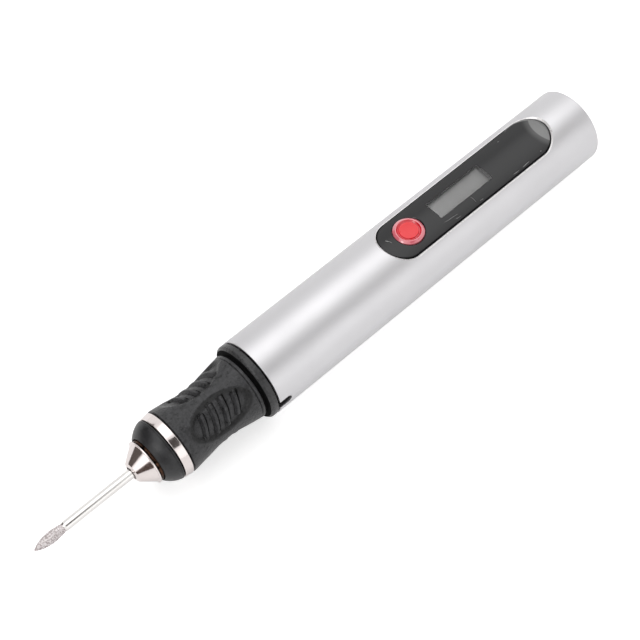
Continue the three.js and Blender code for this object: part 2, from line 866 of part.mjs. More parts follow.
function noseCap() {
  const mouth = noseCapFrontRadius - noseCapLip;
  const lipRear = noseCapFront + noseCapLipDepth;
  const shoulder = lipRear + (gripBore - mouth) * noseCapSlope;
  const curve = new THREE.QuadraticBezierCurve(
    new THREE.Vector2(noseCapFront, noseCapFrontRadius),
    new THREE.Vector2(
      noseCapFront + noseCapLength * capBendShares[0],
      noseCapFrontRadius + (noseCapRearRadius - noseCapFrontRadius) * capBendShares[1],
    ),
    new THREE.Vector2(noseCapRear, noseCapRearRadius),
  );
  const skin = curve.getPoints(endSteps / 2).map((point) => [point.x, point.y]);
  return turned([
    [noseCapFront, mouth],
    ...skin,
    [noseCapRear, gripBore],
    [shoulder, gripBore],
    [lipRear, mouth],
    [noseCapFront, mouth],
  ], noseSides);
}
add('nose_cap', noseCap(), 'satinBlack');

// Brass ring that closes the bearing seat behind the nut

function bearingRetainer() {
  return turned([
    [retainerFront, retainerBore],
    [retainerFront, retainerRadius - edgeBreak],
    [retainerFront + edgeBreak, retainerRadius],
    [retainerRear, retainerRadius],
    [retainerRear, retainerBore],
    [retainerFront, retainerBore],
  ]);
}
add('bearing_retainer', bearingRetainer(), 'brass');

// Grip core: bearing seats at both ends and the spigot that plugs into the tube

function gripCore() {
  const seat = bearingRadius + seatGap;
  const frontSeat = frontBearingPlace + bearingWidth + seatGap;
  const rearSeat = rearBearingPlace - seatGap;
  const spigotFront = 0;
  return turned([
    [coreFront, seat],
    [coreFront, coreRadius],
    [spigotFront, coreRadius],
    [spigotFront, coreSpigotRadius],
    [coreSpigotLength - edgeBreak, coreSpigotRadius],
    [coreSpigotLength, coreSpigotRadius - edgeBreak],
    [coreSpigotLength, coreSpigotRadius - coreLip],
    [spigotFront + coreLip, coreSpigotRadius - coreLip],
    [spigotFront + coreLip, seat],
    [rearSeat, seat],
    [rearSeat, coreBore],
    [frontSeat, coreBore],
    [frontSeat, seat],
    [coreFront, seat],
  ]);
}
add('grip_core', gripCore(), 'blackPlastic');

// Ball bearings: an outer ring, an inner ring, and the balls held in their cage

const raceMiddle = (bearingRadius + bearingBore) / 2;

// A cage ring with its balls, as one body.
function ballCage(front) {
  const middle = front + bearingWidth / 2;
  const half = cageThickness / 2;
  const reach = (cageWidthShare * bearingWidth) / 2;
  let body = solid(ring(
    middle - reach,
    middle + reach,
    raceMiddle + half,
    raceMiddle - half,
    smallSides,
  ));
  for (let i = 0; i < ballCount; i += 1) {
    const turn = (i * 2 * Math.PI) / ballCount;
    const ball = new THREE.SphereGeometry(ballRadius, ballSides, ballRings)
      .translate(middle, 0, raceMiddle)
      .rotateX(turn);
    body = body.add(solid(ball));
  }
  return geometryOf(body);
}

function bearing(label, front, spindle) {
  const rear = front + bearingWidth;
  const inner = ring(front, rear, bearingBore + bearingRingWall, bearingBore, smallSides);
  add(`${label}_bearing_outer`, ring(
    front,
    rear,
    bearingRadius,
    bearingRadius - bearingRingWall,
    smallSides,
  ), 'groundSteel');
  add(`${label}_bearing_balls`, ballCage(front), 'brass');
  add(`${label}_bearing_inner`, inner, 'groundSteel', spindle);
}

const spindleGroup = new THREE.Group();
pen.add(spindleGroup);
bearing('front', frontBearingPlace, spindleGroup);
bearing('rear', rearBearingPlace, spindleGroup);

// Spindle: threaded nose with the collet seat, flange, journals and the rear stub

function spindle() {
  const burrRear = burrTipPlace + burrLength + seatGap;
  const seatRear = colletFront + colletLength + seatGap;
  const flangeRear = spindleFlangeFront + spindleFlangeLength;
  return turned([
    [burrRear, 0],
    [burrRear, spindleBore],
    [seatRear, spindleBore],
    [seatRear, spindleNoseBore],
    [spindleNoseFront, spindleNoseBore],
    [spindleNoseFront, spindleNoseRadius - edgeBreak],
    [spindleNoseFront + edgeBreak, spindleNoseRadius],
    [spindleFlangeFront, spindleNoseRadius],
    [spindleFlangeFront, spindleFlangeRadius],
    [flangeRear, spindleFlangeRadius],
    [flangeRear, journalRadius],
    [spindleRear, journalRadius],
    [spindleRear, spindleStubRadius],
    [spindleRear + spindleStubLength, spindleStubRadius],
    [spindleRear + spindleStubLength, 0],
  ]);
}
add('spindle', spindle(), 'groundSteel', spindleGroup);

// Collet with three slits from its front

function collet() {
  const bore = shankRadius + shankGap;
  let body = solid(turned([
    [colletFront, bore],
    [colletFront, nutLandRadius - boardGap],
    [colletHeadRear, colletHeadRadius],
    [colletHeadRear, colletBodyRadius],
    [colletFront + colletLength, colletBodyRadius],
    [colletFront + colletLength, bore],
    [colletFront, bore],
  ]));
  const slit = solid(block(
    [colletFront - overrun, -colletSlit / 2, 0],
    [colletFront + colletSlitLength, colletSlit / 2, colletHeadRadius + overrun],
  ));
  for (let i = 0; i < colletSlits; i += 1) {
    body = body.subtract(slit.rotate([(i * fullTurn) / colletSlits, 0, 0]));
  }
  return geometryOf(body);
}
const colletGroup = new THREE.Group();
pen.add(colletGroup);
add('collet', collet(), 'groundSteel', colletGroup);

// Collet nut: a slightly bulged cone with a rim, a front land and the seat for the collet's head

function colletNut() {
  const shoulder = nutFront + nutShoulderLength;
  const coneRear = nutPlace - nutRimLength;
  const thread = spindleNoseRadius + seatGap;
  const cone = new THREE.QuadraticBezierCurve(
    new THREE.Vector2(shoulder, nutShoulderRadius),
    new THREE.Vector2(
      (shoulder + coneRear) / 2 - nutConeBulge,
      (nutShoulderRadius + nutConeRadius) / 2 + nutConeBulge,
    ),
    new THREE.Vector2(coneRear, nutConeRadius),
  );
  return turned([
    [nutFront, nutLandRadius],
    [nutFront, nutFrontRadius],
    ...cone.getPoints(nutConeSteps).map((point) => [point.x, point.y]),
    [coneRear, nutRimRadius],
    [nutPlace, nutRimRadius],
    [nutPlace, thread],
    [colletHeadRear, thread],
    [colletHeadRear, colletHeadRadius + seatGap],
    [nutFront + nutLandLength, nutSeatRadius],
    [nutFront + nutLandLength, nutLandRadius],
    [nutFront, nutLandRadius],
  ], noseSides);
}
add('collet_nut', colletNut(), 'chrome', colletGroup);

// Diamond burr: a ground shank and a flame-shaped head

const headRear = burrTipPlace + headLength;
const headPlaceShares = [0, 0.03, 0.13, 0.24, 0.36, 0.5, 0.6, 0.75, 0.9, 1];
const headRadiusShares = [0.18, 0.24, 0.53, 0.75, 0.89, 0.98, 1, 0.93, 0.82, 0.74];

function burrHead() {
  const skin = headPlaceShares.map((share, i) => [
    burrTipPlace + share * headLength,
    headRadius * headRadiusShares[i],
  ]);
  return turned([[burrTipPlace, 0], ...skin, [headRear, 0]], smallSides);
}

function burrShank() {
  const rear = burrTipPlace + burrLength;
  return turned([
    [headRear, 0],
    [headRear, headRadius * headRadiusShares[headRadiusShares.length - 1]],
    [headRear + shankChamfer, shankRadius],
    [rear - shankChamfer, shankRadius],
    [rear, shankRadius - shankChamfer],
    [rear, 0],
  ], smallSides);
}
const burrGroup = new THREE.Group();
colletGroup.add(burrGroup);
add('burr_head', burrHead(), 'diamondGrit', burrGroup);
add('burr_shank', burrShank(), 'groundSteel', burrGroup);

// Shaft coupling, bored from both ends

const couplingFront = spindleRear + seatGap;
const webFront = spindleRear + spindleStubLength + seatGap;
const webRear = webFront + couplingWeb;
const couplingRear = webRear + couplingGrip;

function shaftCoupling() {
  const frontBore = spindleStubRadius + seatGap;
  const rearBore = motorShaftRadius + seatGap;
  return turned([
    [webFront, 0],
    [webFront, frontBore],
    [couplingFront, frontBore],
    [couplingFront, couplingRadius],
    [couplingRear, couplingRadius],
    [couplingRear, rearBore],
    [webRear, rearBore],
    [webRear, 0],
  ], smallSides);
}
add('shaft_coupling', shaftCoupling(), 'brass', spindleGroup);

// Motor: can, end bell, magnets, brushes, armature, commutator and shaft

const shaftBore = motorShaftRadius + seatGap;
const canBore = motorRadius - motorWall;
const endBellBoreEnd = endBellRear - motorWall;

function motorCan() {
  const bossFront = motorFront - motorBossLength;
  return turned([
    [bossFront, shaftBore],
    [bossFront, motorBossRadius],
    [motorFront, motorBossRadius],
    [motorFront, motorRadius - edgeBreak],
    [motorFront + edgeBreak, motorRadius],
    [motorRear, motorRadius],
    [motorRear, canBore],
    [motorFront + motorWall, canBore],
    [motorFront + motorWall, shaftBore],
    [bossFront, shaftBore],
  ]);
}

function motorEndBell() {
  const spigot = canBore - seatGap;
  const spigotFront = motorRear - endBellSpigot;
  return turned([
    [endBellBoreEnd, 0],
    [endBellBoreEnd, shaftBore],
    [endBellFront, shaftBore],
    [endBellFront, spigot - endBellSpigot],
    [spigotFront, spigot - endBellSpigot],
    [spigotFront, spigot],
    [endBellFront, spigot],
    [endBellFront, motorRadius],
    [endBellRear, motorRadius],
    [endBellRear, 0],
  ]);
}

// One arc magnet; side is 1 above the shaft and -1 below it.
function motorMagnet(side) {
  const outer = canBore - seatGap;
  const from = (Math.PI * side) / 2 - magnetSpan / 2;
  const to = from + magnetSpan;
  const shape = new THREE.Shape();
  shape.absarc(0, 0, outer, from, to, false);
  shape.absarc(0, 0, outer - magnetThickness, to, from, true);
  const front = motorFront + motorWall + magnetFrontGap;
  return drawnOut(shape, front, front + magnetLength, magnetSteps);
}

const armatureFront = motorFront + motorWall + magnetFrontGap + (magnetLength - armatureLength) / 2;
const armatureRear = armatureFront + armatureLength;

function motorArmature() {
  let body = solid(ring(armatureFront, armatureRear, armatureRadius, shaftBore));
  const slot = solid(block(
    [armatureFront - overrun, -armatureSlot / 2, armatureHubRadius],
    [armatureRear + overrun, armatureSlot / 2, armatureRadius + overrun],
  ));
  for (let i = 0; i < armaturePoles; i += 1) {
    body = body.subtract(slot.rotate([(i * fullTurn) / armaturePoles, 0, 0]));
  }
  return geometryOf(body);
}

// A leaf brush that stands on the end bell and reaches over the commutator.
function motorBrush(side) {
  const rear = endBellFront - seatGap;
  const inner = commutatorRadius + seatGap;
  const [low, high] = side > 0 ? [inner, inner + brushThickness] : [-inner - brushThickness, -inner];
  return block([rear - brushLength, low, -brushWidth / 2], [rear, high, brushWidth / 2]);
}
const commutatorFront = armatureRear + seatGap;
add('motor_can', motorCan(), 'zincSteel');
add('motor_end_bell', motorEndBell(), 'greyPlastic');
add('motor_magnet_upper', motorMagnet(1), 'ferrite');
add('motor_magnet_lower', motorMagnet(-1), 'ferrite');
add('motor_brush_left', motorBrush(1), 'copper');
add('motor_brush_right', motorBrush(-1), 'copper');
add('motor_armature', motorArmature(), 'laminate', spindleGroup);
add(
  'motor_commutator',
  ring(commutatorFront, commutatorFront + commutatorLength, commutatorRadius, shaftBore, smallSides),
  'copper',
  spindleGroup,
);
add(
  'motor_shaft',
  rod(webRear + seatGap, endBellBoreEnd - seatGap, motorShaftRadius, smallSides),
  'groundSteel',
  spindleGroup,
);

// Leads, each a round wire along its route

function lead(route) {
  const path = new THREE.CatmullRomCurve3(route.map((place) => new THREE.Vector3(...place)));
  const section = new THREE.Shape();
  section.absarc(0, 0, leadRadius, 0, 2 * Math.PI, false);
  return new THREE.ExtrudeGeometry(section, {
    extrudePath: path,
    steps: leadSteps,
    curveSegments: leadSides / 2,
    bevelEnabled: false,
  });
}
const leadOnBoard = boardTop + boardGap + leadRadius;

// From the motor's end bell up in front of the cradle and onto the main board.
function motorLead(side) {
  const bay = (endBellRear + cradleFront) / 2;
  const start = side * motorLeadSpread;
  const end = side * leadSpread;
  return lead([
    [endBellRear + seatGap, start, -motorLeadDrop],
    [bay, start, 0],
    [bay, (start + end) / 2, boardFloor / 2],
    [bay, end, boardFloor - leadRadius],
    [boardFront - 2 * leadRadius, end, leadOnBoard],
    [boardFront + leadRadius, end, leadOnBoard],
    [boardFront + leadReach, end, leadOnBoard],
  ]);
}

// From the charge board up behind the cradle and onto the main board.
function chargeLead(side) {
  const along = side * leadSpread;
  const bay = rearBulkheadRear + 2 * leadRadius;
  const low = chargeBoardTop + boardGap + leadRadius;
  return lead([
    [rearBulkheadRear + chargeLeadReach, along, low],
    [rearBulkheadRear + chargeLeadReach / 2, along, low],
    [bay, along, low + 2 * leadRadius],
    [bay, along, boardFloor - 2 * leadRadius],
    [boardRear + 2 * leadRadius, along, leadOnBoard],
    [boardRear - leadRadius, along, leadOnBoard],
    [boardRear - leadReach, along, leadOnBoard],
  ]);
}
add('motor_lead_red', motorLead(1), 'redLead');
add('motor_lead_black', motorLead(-1), 'blackLead');
add('charge_lead_red', chargeLead(1), 'redLead');
add('charge_lead_black', chargeLead(-1), 'blackLead');

pen.position.set(-(burrTipPlace + tubeLength) / 2, 0, tubeFlatRadius);

export default pen;
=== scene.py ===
"""Dresses an electric engraving pen, which lies on its side with its panel upwards."""

import json
import logging
import math
from dataclasses import dataclass
from enum import Enum
from typing import Callable, Iterable, Iterator, Sequence

import bmesh
import bpy
from mathutils import Matrix, Vector, noise

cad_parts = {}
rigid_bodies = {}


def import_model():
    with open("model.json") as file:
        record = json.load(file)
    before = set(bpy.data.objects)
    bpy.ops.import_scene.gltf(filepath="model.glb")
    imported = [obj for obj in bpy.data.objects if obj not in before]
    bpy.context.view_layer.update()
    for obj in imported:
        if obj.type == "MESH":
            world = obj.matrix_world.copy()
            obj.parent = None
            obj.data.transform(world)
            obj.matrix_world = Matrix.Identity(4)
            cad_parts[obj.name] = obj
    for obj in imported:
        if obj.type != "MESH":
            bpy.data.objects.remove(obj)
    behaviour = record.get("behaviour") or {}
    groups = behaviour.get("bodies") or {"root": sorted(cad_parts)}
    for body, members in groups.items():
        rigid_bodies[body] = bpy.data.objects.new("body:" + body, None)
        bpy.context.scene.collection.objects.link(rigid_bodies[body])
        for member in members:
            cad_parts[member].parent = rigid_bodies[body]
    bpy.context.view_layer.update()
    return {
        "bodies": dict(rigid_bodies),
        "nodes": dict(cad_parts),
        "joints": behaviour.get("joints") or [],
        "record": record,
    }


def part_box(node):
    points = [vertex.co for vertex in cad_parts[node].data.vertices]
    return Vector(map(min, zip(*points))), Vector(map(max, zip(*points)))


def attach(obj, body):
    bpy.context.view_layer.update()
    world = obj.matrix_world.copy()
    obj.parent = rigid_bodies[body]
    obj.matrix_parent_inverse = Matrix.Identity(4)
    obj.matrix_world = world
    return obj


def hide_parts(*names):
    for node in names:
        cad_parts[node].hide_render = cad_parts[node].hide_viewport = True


LOG = logging.getLogger("engraving_pen")
MM = 0.001
# Half the angle, in radians, from which a corner counts as straight and isn't rounded.
STRAIGHT = 1.55
# The share of the shorter side that a rounding may take up.
ROUNDED_SHARE = 0.45
# Where the collar's key and its notch in the tube begin to curve, in millimetres.
KEY_STRAIGHT = 2.25
Flat = tuple[float, float]
Point = tuple[float, float, float]
Loop = list[Point]
Piece = bpy.types.Object
Tree = bpy.types.NodeTree
Socket = bpy.types.NodeSocket


# ---- materials


def linear(code: str) -> tuple[float, float, float, float]:
    """Turns an sRGB hex colour into the linear colour that a shader takes.

    Args:
        code: Six hex digits.

    Returns:
        Red, green, blue and a full alpha.
    """
    parts = [int(code[i : i + 2], 16) / 255 for i in (0, 2, 4)]
    turned = [c / 12.92 if c <= 0.04045 else ((c + 0.055) / 1.055) ** 2.4 for c in parts]
    return (*turned, 1.0)


def add_node(
    tree: Tree, kind: str, settings: dict | None = None, links: dict | None = None,
    output: str | int = 0,
) -> Socket:
    """Adds one node with its settings and its incoming links.

    Args:
        tree: The tree that takes the node.
        kind: The node's type name after "ShaderNode".
        settings: Values by property name, or by input name or number.
        links: Source sockets by the name or number of the input that they feed.
        output: Name or number of the output that is wanted.

    Returns:
        The socket of that output.
    """
    node = tree.nodes.new(f"ShaderNode{kind}")
    for key, value in (settings or {}).items():
        if isinstance(key, str) and hasattr(node, key):
            setattr(node, key, value)
        else:
            node.inputs[key].default_value = value
    for key, source in (links or {}).items():
        tree.links.new(source, node.inputs[key])
    return node.outputs[output]


class Grain(Enum):
    """The form of a finish's fine relief.

    Each is a texture node's kind, its scale for a grain of 1, its settings and its output.
    """

    NONE = None
    BLASTED = ("TexNoise", 1.0, {"Detail": 4.0}, "Fac")
    MOULDED = ("TexNoise", 1.0, {"Detail": 2.0}, "Fac")
    TURNED = (
        "TexWave", 1 / math.tau,
        {
            "wave_type": "BANDS", "bands_direction": "X", "Distortion": 0.4, "Detail": 1.0,
            "Detail Scale": 2.0,
        },
        "Fac",
    )
    GRIT = ("TexVoronoi", 1.0, {"Randomness": 1.0}, "Distance")
    WOVEN = ("TexChecker", 1.0, {}, "Fac")


@dataclass(frozen=True)
class Finish:
    """One real material with the way that its surface was made.

    Colours are sRGB hex, and every length is in millimetres.
    """

    label: str
    colour: str
    second: str
    roughness: float
    metallic: float = 0.0
    ior: float = 1.5
    grain: Grain = Grain.NONE
    grain_size: float = 0.2
    grain_depth: float = 0.01
    patch_size: float = 6.0
    patch_share: float = 0.5
    rough_spread: float = 0.04
    coat: float = 0.0
    coat_roughness: float = 0.03
    transmission: float = 0.0
    sheen: float = 0.0

    def material(self) -> bpy.types.Material:
        """Builds the finish, or finds it where it was built before.

        Returns:
            The material.
        """
        known = bpy.data.materials.get(self.label)
        if known:
            return known
        made = bpy.data.materials.new(self.label)
        made.use_nodes = True
        tree = made.node_tree
        shader = tree.nodes["Principled BSDF"]
        fixed = {
            "Metallic": self.metallic, "Coat Weight": self.coat, "Sheen Weight": self.sheen,
            "Coat Roughness": self.coat_roughness, "Transmission Weight": self.transmission,
        }
        if not self.metallic:
            fixed["IOR"] = self.ior
        for name, value in fixed.items():
            shader.inputs[name].default_value = value
        place = add_node(tree, "TexCoord", output="Object")
        clouds = {"Scale": 1 / (self.patch_size * MM), "Detail": 3.0, "Roughness": 0.55}
        patches = {"Value": add_node(tree, "TexNoise", clouds, {"Vector": place}, "Fac")}
        middle = {"From Min": 0.3, "From Max": 0.7}
        blend = add_node(tree, "MapRange", {**middle, "To Max": self.patch_share}, patches)
        pair = {"data_type": "RGBA", 6: linear(self.colour), 7: linear(self.second)}
        colour = add_node(tree, "Mix", pair, {0: blend}, 2)
        relief = self._relief(tree, place)
        if self.grain is Grain.GRIT:
            pair = {"data_type": "RGBA", 6: linear(self.second)}
            colour = add_node(tree, "Mix", pair, {0: relief, 7: colour}, 2)
        tree.links.new(self._tinted(tree, place, colour), shader.inputs["Base Color"])
        low, high = self.roughness - self.rough_spread, self.roughness + self.rough_spread
        spread = {**middle, "To Min": max(low, 0.0), "To Max": high}
        tree.links.new(add_node(tree, "MapRange", spread, patches), shader.inputs["Roughness"])
        if relief is not None:
            depth = {"Strength": 1.0, "Distance": self.grain_depth * MM}
            bump = add_node(tree, "Bump", depth, {"Height": relief})
            tree.links.new(bump, shader.inputs["Normal"])
        return made

    def _tinted(self, tree: Tree, place: Socket, colour: Socket) -> Socket:
        """Leaves the colour as it is."""
        return colour

    def _relief(self, tree: Tree, place: Socket) -> Socket | None:
        """Adds the height pattern of the grain.

        Args:
            tree: The material's tree.
            place: The socket that gives the place on the piece.

        Returns:
            The socket of the height from 0 to 1, or None where the finish has no grain.
        """
        if self.grain is Grain.NONE:
            return None
        kind, scale, settings, output = self.grain.value
        settings = {**settings, "Scale": scale / (self.grain_size * MM)}
        height = add_node(tree, kind, settings, {"Vector": place}, output)
        if self.grain is Grain.GRIT:
            falling = {"From Min": 0.35, "From Max": 0.75, "To Min": 1.0, "To Max": 0.0}
            height = add_node(tree, "MapRange", falling, {"Value": height})
        return height


@dataclass(frozen=True)
class FilmReflectionFinish(Finish):
    """A finish with a painted reflection: paler round one place, where a clear film has come away.

    The place is in the frame, in millimetres.
    """

    painted_reflection: str = "8C8C8C"
    reflection_centre: Point = (0.0, 0.0, 0.0)
    reflection_reach: float = 1.0
    reflection_soft: float = 1.8
    reflection_edge: float = 0.3
    reflection_shares: Flat = (0.3, 0.9)

    def _tinted(self, tree: Tree, place: Socket, colour: Socket) -> Socket:
        """Paints the film's reflection: pales the colour where the film is loose.

        Args:
            tree: The material's tree.
            place: The socket that gives the place on the piece.
            colour: The socket of the plain colour.

        Returns:
            The socket of the paled colour.
        """
        centre = {"operation": "DISTANCE", 1: tuple(c * MM for c in self.reflection_centre)}
        away = {"Value": add_node(tree, "VectorMath", centre, {0: place}, "Value")}
        reach = self.reflection_reach
        steps = ((reach + self.reflection_soft, reach), (reach, reach - self.reflection_edge))
        for (first, last), share in zip(steps, self.reflection_shares):
            fade = {
                "interpolation_type": "SMOOTHSTEP", "From Min": first * MM, "From Max": last * MM,
                "To Max": share,
            }
            pair = {"data_type": "RGBA", 7: linear(self.painted_reflection)}
            amount = add_node(tree, "MapRange", fade, away)
            colour = add_node(tree, "Mix", pair, {0: amount, 6: colour}, 2)
        return colour


@dataclass(frozen=True)
class PaintedShadeFinish(Finish):
    """A moulded finish with painted shade: darker where the piece's attribute says.

    The piece's own attribute "polish" says how much, from 0 to 1.
    """

    shade_colour: str = "060606"

    def _tinted(self, tree: Tree, place: Socket, colour: Socket) -> Socket:
        """Paints shade: darkens the colour by the piece's attribute.

        Args:
            tree: The material's tree.
            place: The socket that gives the place on the piece; not used.
            colour: The socket of the plain colour.

        Returns:
            The socket of the darkened colour.
        """
        amount = add_node(tree, "Attribute", {"attribute_name": "shade_amount"}, output="Fac")
        pair = {"data_type": "RGBA", 7: linear(self.shade_colour)}
        return add_node(tree, "Mix", pair, {0: amount, 6: colour}, 2)


# ---- outlines


def softened(corners: Sequence[Point], steps: int = 4) -> list[Flat]:
    """Rounds the corners of a closed outline.

    Args:
        corners: Along, across and rounding radius of each corner, in millimetres.
        steps: Chords in each rounding.

    Returns:
        The points of the rounded outline.
    """
    points: list[Flat] = []
    for i, (along, across, radius) in enumerate(corners):
        corner = Vector((along, across))
        last, following = corners[i - 1], corners[(i + 1) % len(corners)]
        arms = [Vector(place[:2]) - corner for place in (last, following)]
        half = arms[0].angle(arms[1]) / 2
        if radius <= 0 or half > STRAIGHT:
            points.append((along, across))
            continue
        reach = min(radius / math.tan(half), *(ROUNDED_SHARE * arm.length for arm in arms))
        ways = [arm.normalized() for arm in arms]
        middle = corner + (ways[0] + ways[1]).normalized() * reach / math.cos(half)
        start, end = (corner + way * reach - middle for way in ways)
        sweep = start.angle(end)
        for k in range(steps + 1):
            first, second = (1 - k / steps) * sweep, k / steps * sweep
            arm = math.sin(first) * start + math.sin(second) * end
            points.append(tuple(middle + arm / math.sin(sweep)))
    return points


def rounded(long: float, wide: float, radius: float, steps: int) -> list[Flat]:
    """Gives a rectangle of these half sizes, with rounded corners."""
    corners = ((-long, -wide), (long, -wide), (long, wide), (-long, wide))
    return softened([(x, y, radius) for x, y in corners], steps)


def bowed(start: Flat, pull: Flat, end: Flat, steps: int) -> list[Point]:
    """Gives an outline's corners on a curve, without the curve's ends.

    Args:
        start: Along and across of the curve's start.
        pull: The place that the curve bends towards.
        end: Along and across of its end.
        steps: Chords in the curve.

    Returns:
        The corners, with no rounding.
    """
    first, middle, last = Vector(start), Vector(pull), Vector(end)
    shares = [i / steps for i in range(1, steps)]
    return [(*first.lerp(middle, t).lerp(middle.lerp(last, t), t), 0.0) for t in shares]


def stadium(start: float, length: float, width: float, steps: int) -> list[Flat]:
    """Gives an outline with half-round ends.

    Args:
        start: The outline's lowest place along.
        length: Its length.
        width: Its width, with its middle at 0.
        steps: Chords in each end.

    Returns:
        The points of the outline.
    """
    half = width / 2
    points = []
    for centre, first in ((start + length - half, -90), (start + half, 90)):
        for i in range(steps + 1):
            turn = math.radians(first + 180 * i / steps)
            points.append((centre + half * math.cos(turn), half * math.sin(turn)))
    return points


def tongue(front: float, half: float, steps: int) -> list[Flat]:
    """Gives the outline of the collar's key or of its notch in the tube.

    Args:
        front: Place of the straight end.
        half: Half of the width.
        steps: Chords in the half-round end.

    Returns:
        The points of the outline.
    """
    turns = [math.pi * i / steps for i in range(1, steps)]
    end = [(KEY_STRAIGHT + half * math.sin(t), -half * math.cos(t)) for t in turns]
    first, last = ([(front, side), (KEY_STRAIGHT, side)] for side in (-half, half))
    return [*first, *end, *last[::-1]]


def smoothstep(low: float, high: float, value: float) -> float:
    """Rises smoothly from 0 at low to 1 at high."""
    share = min(max((value - low) / (high - low), 0.0), 1.0)
    return share * share * (3 - 2 * share)


# ---- modelling moves


@dataclass
class Assembly:
    """A sub-assembly's place in the frame, with the modelling moves that all of them share.

    It takes the tube's front edge and the axis height in the frame, in metres. Places are in
    millimetres from the tube's front edge, on the pen's axis.
    """

    edge: float
    axis: float

    def at(self, place: Point) -> Vector:
        """Gives the place in the frame, in metres."""
        along, across, up = place
        return Vector((self.edge + along * MM, across * MM, self.axis + up * MM))

    def faces(self, piece: Piece) -> Iterator[tuple[bpy.types.MeshPolygon, Vector]]:
        """Gives each face of a piece with its middle, in millimetres."""
        for face in piece.data.polygons:
            yield face, (face.center - self.at((0, 0, 0))) / MM

    def swell(self, vertex: bpy.types.MeshVertex, share: float) -> None:
        """Moves a vertex to this share of its distance from the pen's axis."""
        vertex.co.y *= share
        vertex.co.z = self.axis + (vertex.co.z - self.axis) * share

    def pick(self, *pieces: Piece) -> None:
        """Selects some pieces and nothing else.

        Args:
            pieces: The pieces, of which the first becomes the active one.
        """
        bpy.ops.object.select_all(action="DESELECT")
        for piece in pieces:
            piece.select_set(True)
        bpy.context.view_layer.objects.active = pieces[0]

    def named(self, name: str) -> Piece:
        """Names the primitive that was just added."""
        piece = bpy.context.object
        piece.name = piece.data.name = name
        return piece

    def wire(self, name: str, loop: Loop) -> Piece:
        """Adds a circle, moves its corners onto a loop and selects them in edit mode.

        Args:
            name: The piece's name.
            loop: The closed loop's places.

        Returns:
            The piece, still a bare wire.
        """
        bpy.ops.object.select_all(action="DESELECT")
        bpy.ops.mesh.primitive_circle_add(vertices=len(loop), radius=MM)
        piece = self.named(name)
        for vertex, place in zip(piece.data.vertices, loop):
            vertex.co = self.at(place)
        bpy.ops.object.mode_set(mode="EDIT")
        bpy.ops.mesh.select_all(action="SELECT")
        return piece

    def close(self) -> None:
        """Merges doubles, drops loose ends and turns the faces outwards, in edit mode."""
        bpy.ops.mesh.select_all(action="SELECT")
        bpy.ops.mesh.remove_doubles(threshold=0.002 * MM)
        bpy.ops.mesh.select_all(action="SELECT")
        bpy.ops.mesh.delete_loose()
        bpy.ops.mesh.select_all(action="SELECT")
        bpy.ops.mesh.normals_make_consistent(inside=False)
        bpy.ops.object.mode_set(mode="OBJECT")

    def turned(
        self, name: str, corners: Sequence[Point], steps: int = 192, chords: int = 4
    ) -> Piece:
        """Spins a closed outline about the pen's axis.

        Args:
            name: The piece's name.
            corners: Place along the pen, radius and rounding of each corner.
            steps: Faces round the piece.
            chords: Chords in each rounding.

        Returns:
            The closed piece.
        """
        outline = softened(corners, chords)
        piece = self.wire(name, [(along, 0.0, radius) for along, radius in outline])
        bpy.ops.mesh.spin(steps=steps, angle=math.tau, center=(0, 0, self.axis), axis=(1, 0, 0))
        self.close()
        return piece

    def upright(self, name: str, corners: Sequence[Point], along: float, steps: int) -> Piece:
        """Spins a closed outline about a vertical axis.

        Args:
            name: The piece's name.
            corners: Height, radius and rounding of each corner.
            along: Place of the axis along the pen.
            steps: Faces round the piece.

        Returns:
            The closed piece.
        """
        piece = self.wire(name, [(along + radius, 0.0, up) for up, radius in softened(corners)])
        centre = self.at((along, 0, 0))
        bpy.ops.mesh.spin(steps=steps, angle=math.tau, center=centre, axis=(0, 0, 1))
        self.close()
        return piece

    def extrude(self, piece: Piece, move: Callable[[Vector], Vector]) -> None:
        """Extrudes the selected faces and moves their corners, in edit mode.

        Args:
            piece: The piece.
            move: Gives a corner's new place in the frame from its old one.
        """
        bpy.ops.mesh.extrude_region_move()
        mesh = bmesh.from_edit_mesh(piece.data)
        for vertex in mesh.verts:
            if vertex.select:
                vertex.co = move(vertex.co)
        bmesh.update_edit_mesh(piece.data)

    def lofted(self, name: str, loops: Sequence[Loop]) -> Piece:
        """Fills the first loop and extrudes the face through the others.

        Args:
            name: The piece's name.
            loops: Loops with the same number of places, from one end to the other.

        Returns:
            The closed piece.
        """
        piece = self.wire(name, loops[0])
        bpy.ops.mesh.edge_face_add()
        for last, following in zip(loops, loops[1:]):
            moves = {tuple(self.at(a)): self.at(b) for a, b in zip(last, following)}
            self.extrude(piece, lambda place: moves[tuple(place)])
        self.close()
        return piece

    def prism(self, name: str, outline: Iterable[Flat], heights: Iterable[float]) -> Piece:
        """Extrudes an outline seen from above through some heights."""
        return self.lofted(name, [[(x, y, z) for x, y in outline] for z in heights])

    def sheet(
        self, name: str, counts: tuple[int, int], place: Callable[[float, float], Point],
        floor: float,
    ) -> Piece:
        """Moves a grid onto a surface and extrudes it down to a flat underside.

        Args:
            name: The piece's name.
            counts: Faces along and across.
            place: Gives the place for shares from -1 to 1 along and across.
            floor: Height of the underside.

        Returns:
            The closed plate.
        """
        bpy.ops.object.select_all(action="DESELECT")
        bpy.ops.mesh.primitive_grid_add(x_subdivisions=counts[0], y_subdivisions=counts[1], size=2)
        piece = self.named(name)
        for vertex in piece.data.vertices:
            vertex.co = self.at(place(vertex.co.x, vertex.co.y))
        bpy.ops.object.mode_set(mode="EDIT")
        bpy.ops.mesh.select_all(action="SELECT")
        low = self.at((0, 0, floor)).z
        self.extrude(piece, lambda top: Vector((top.x, top.y, low)))
        self.close()
        return piece

    def modify(self, piece: Piece, kind: str, **settings: object) -> None:
        """Applies one modifier to a piece.

        Args:
            piece: The piece.
            kind: The modifier's type.
            settings: The modifier's values by name.
        """
        self.pick(piece)
        step = piece.modifiers.new("step", kind)
        for name, value in settings.items():
            setattr(step, name, value)
        bpy.ops.object.modifier_apply(modifier=step.name)

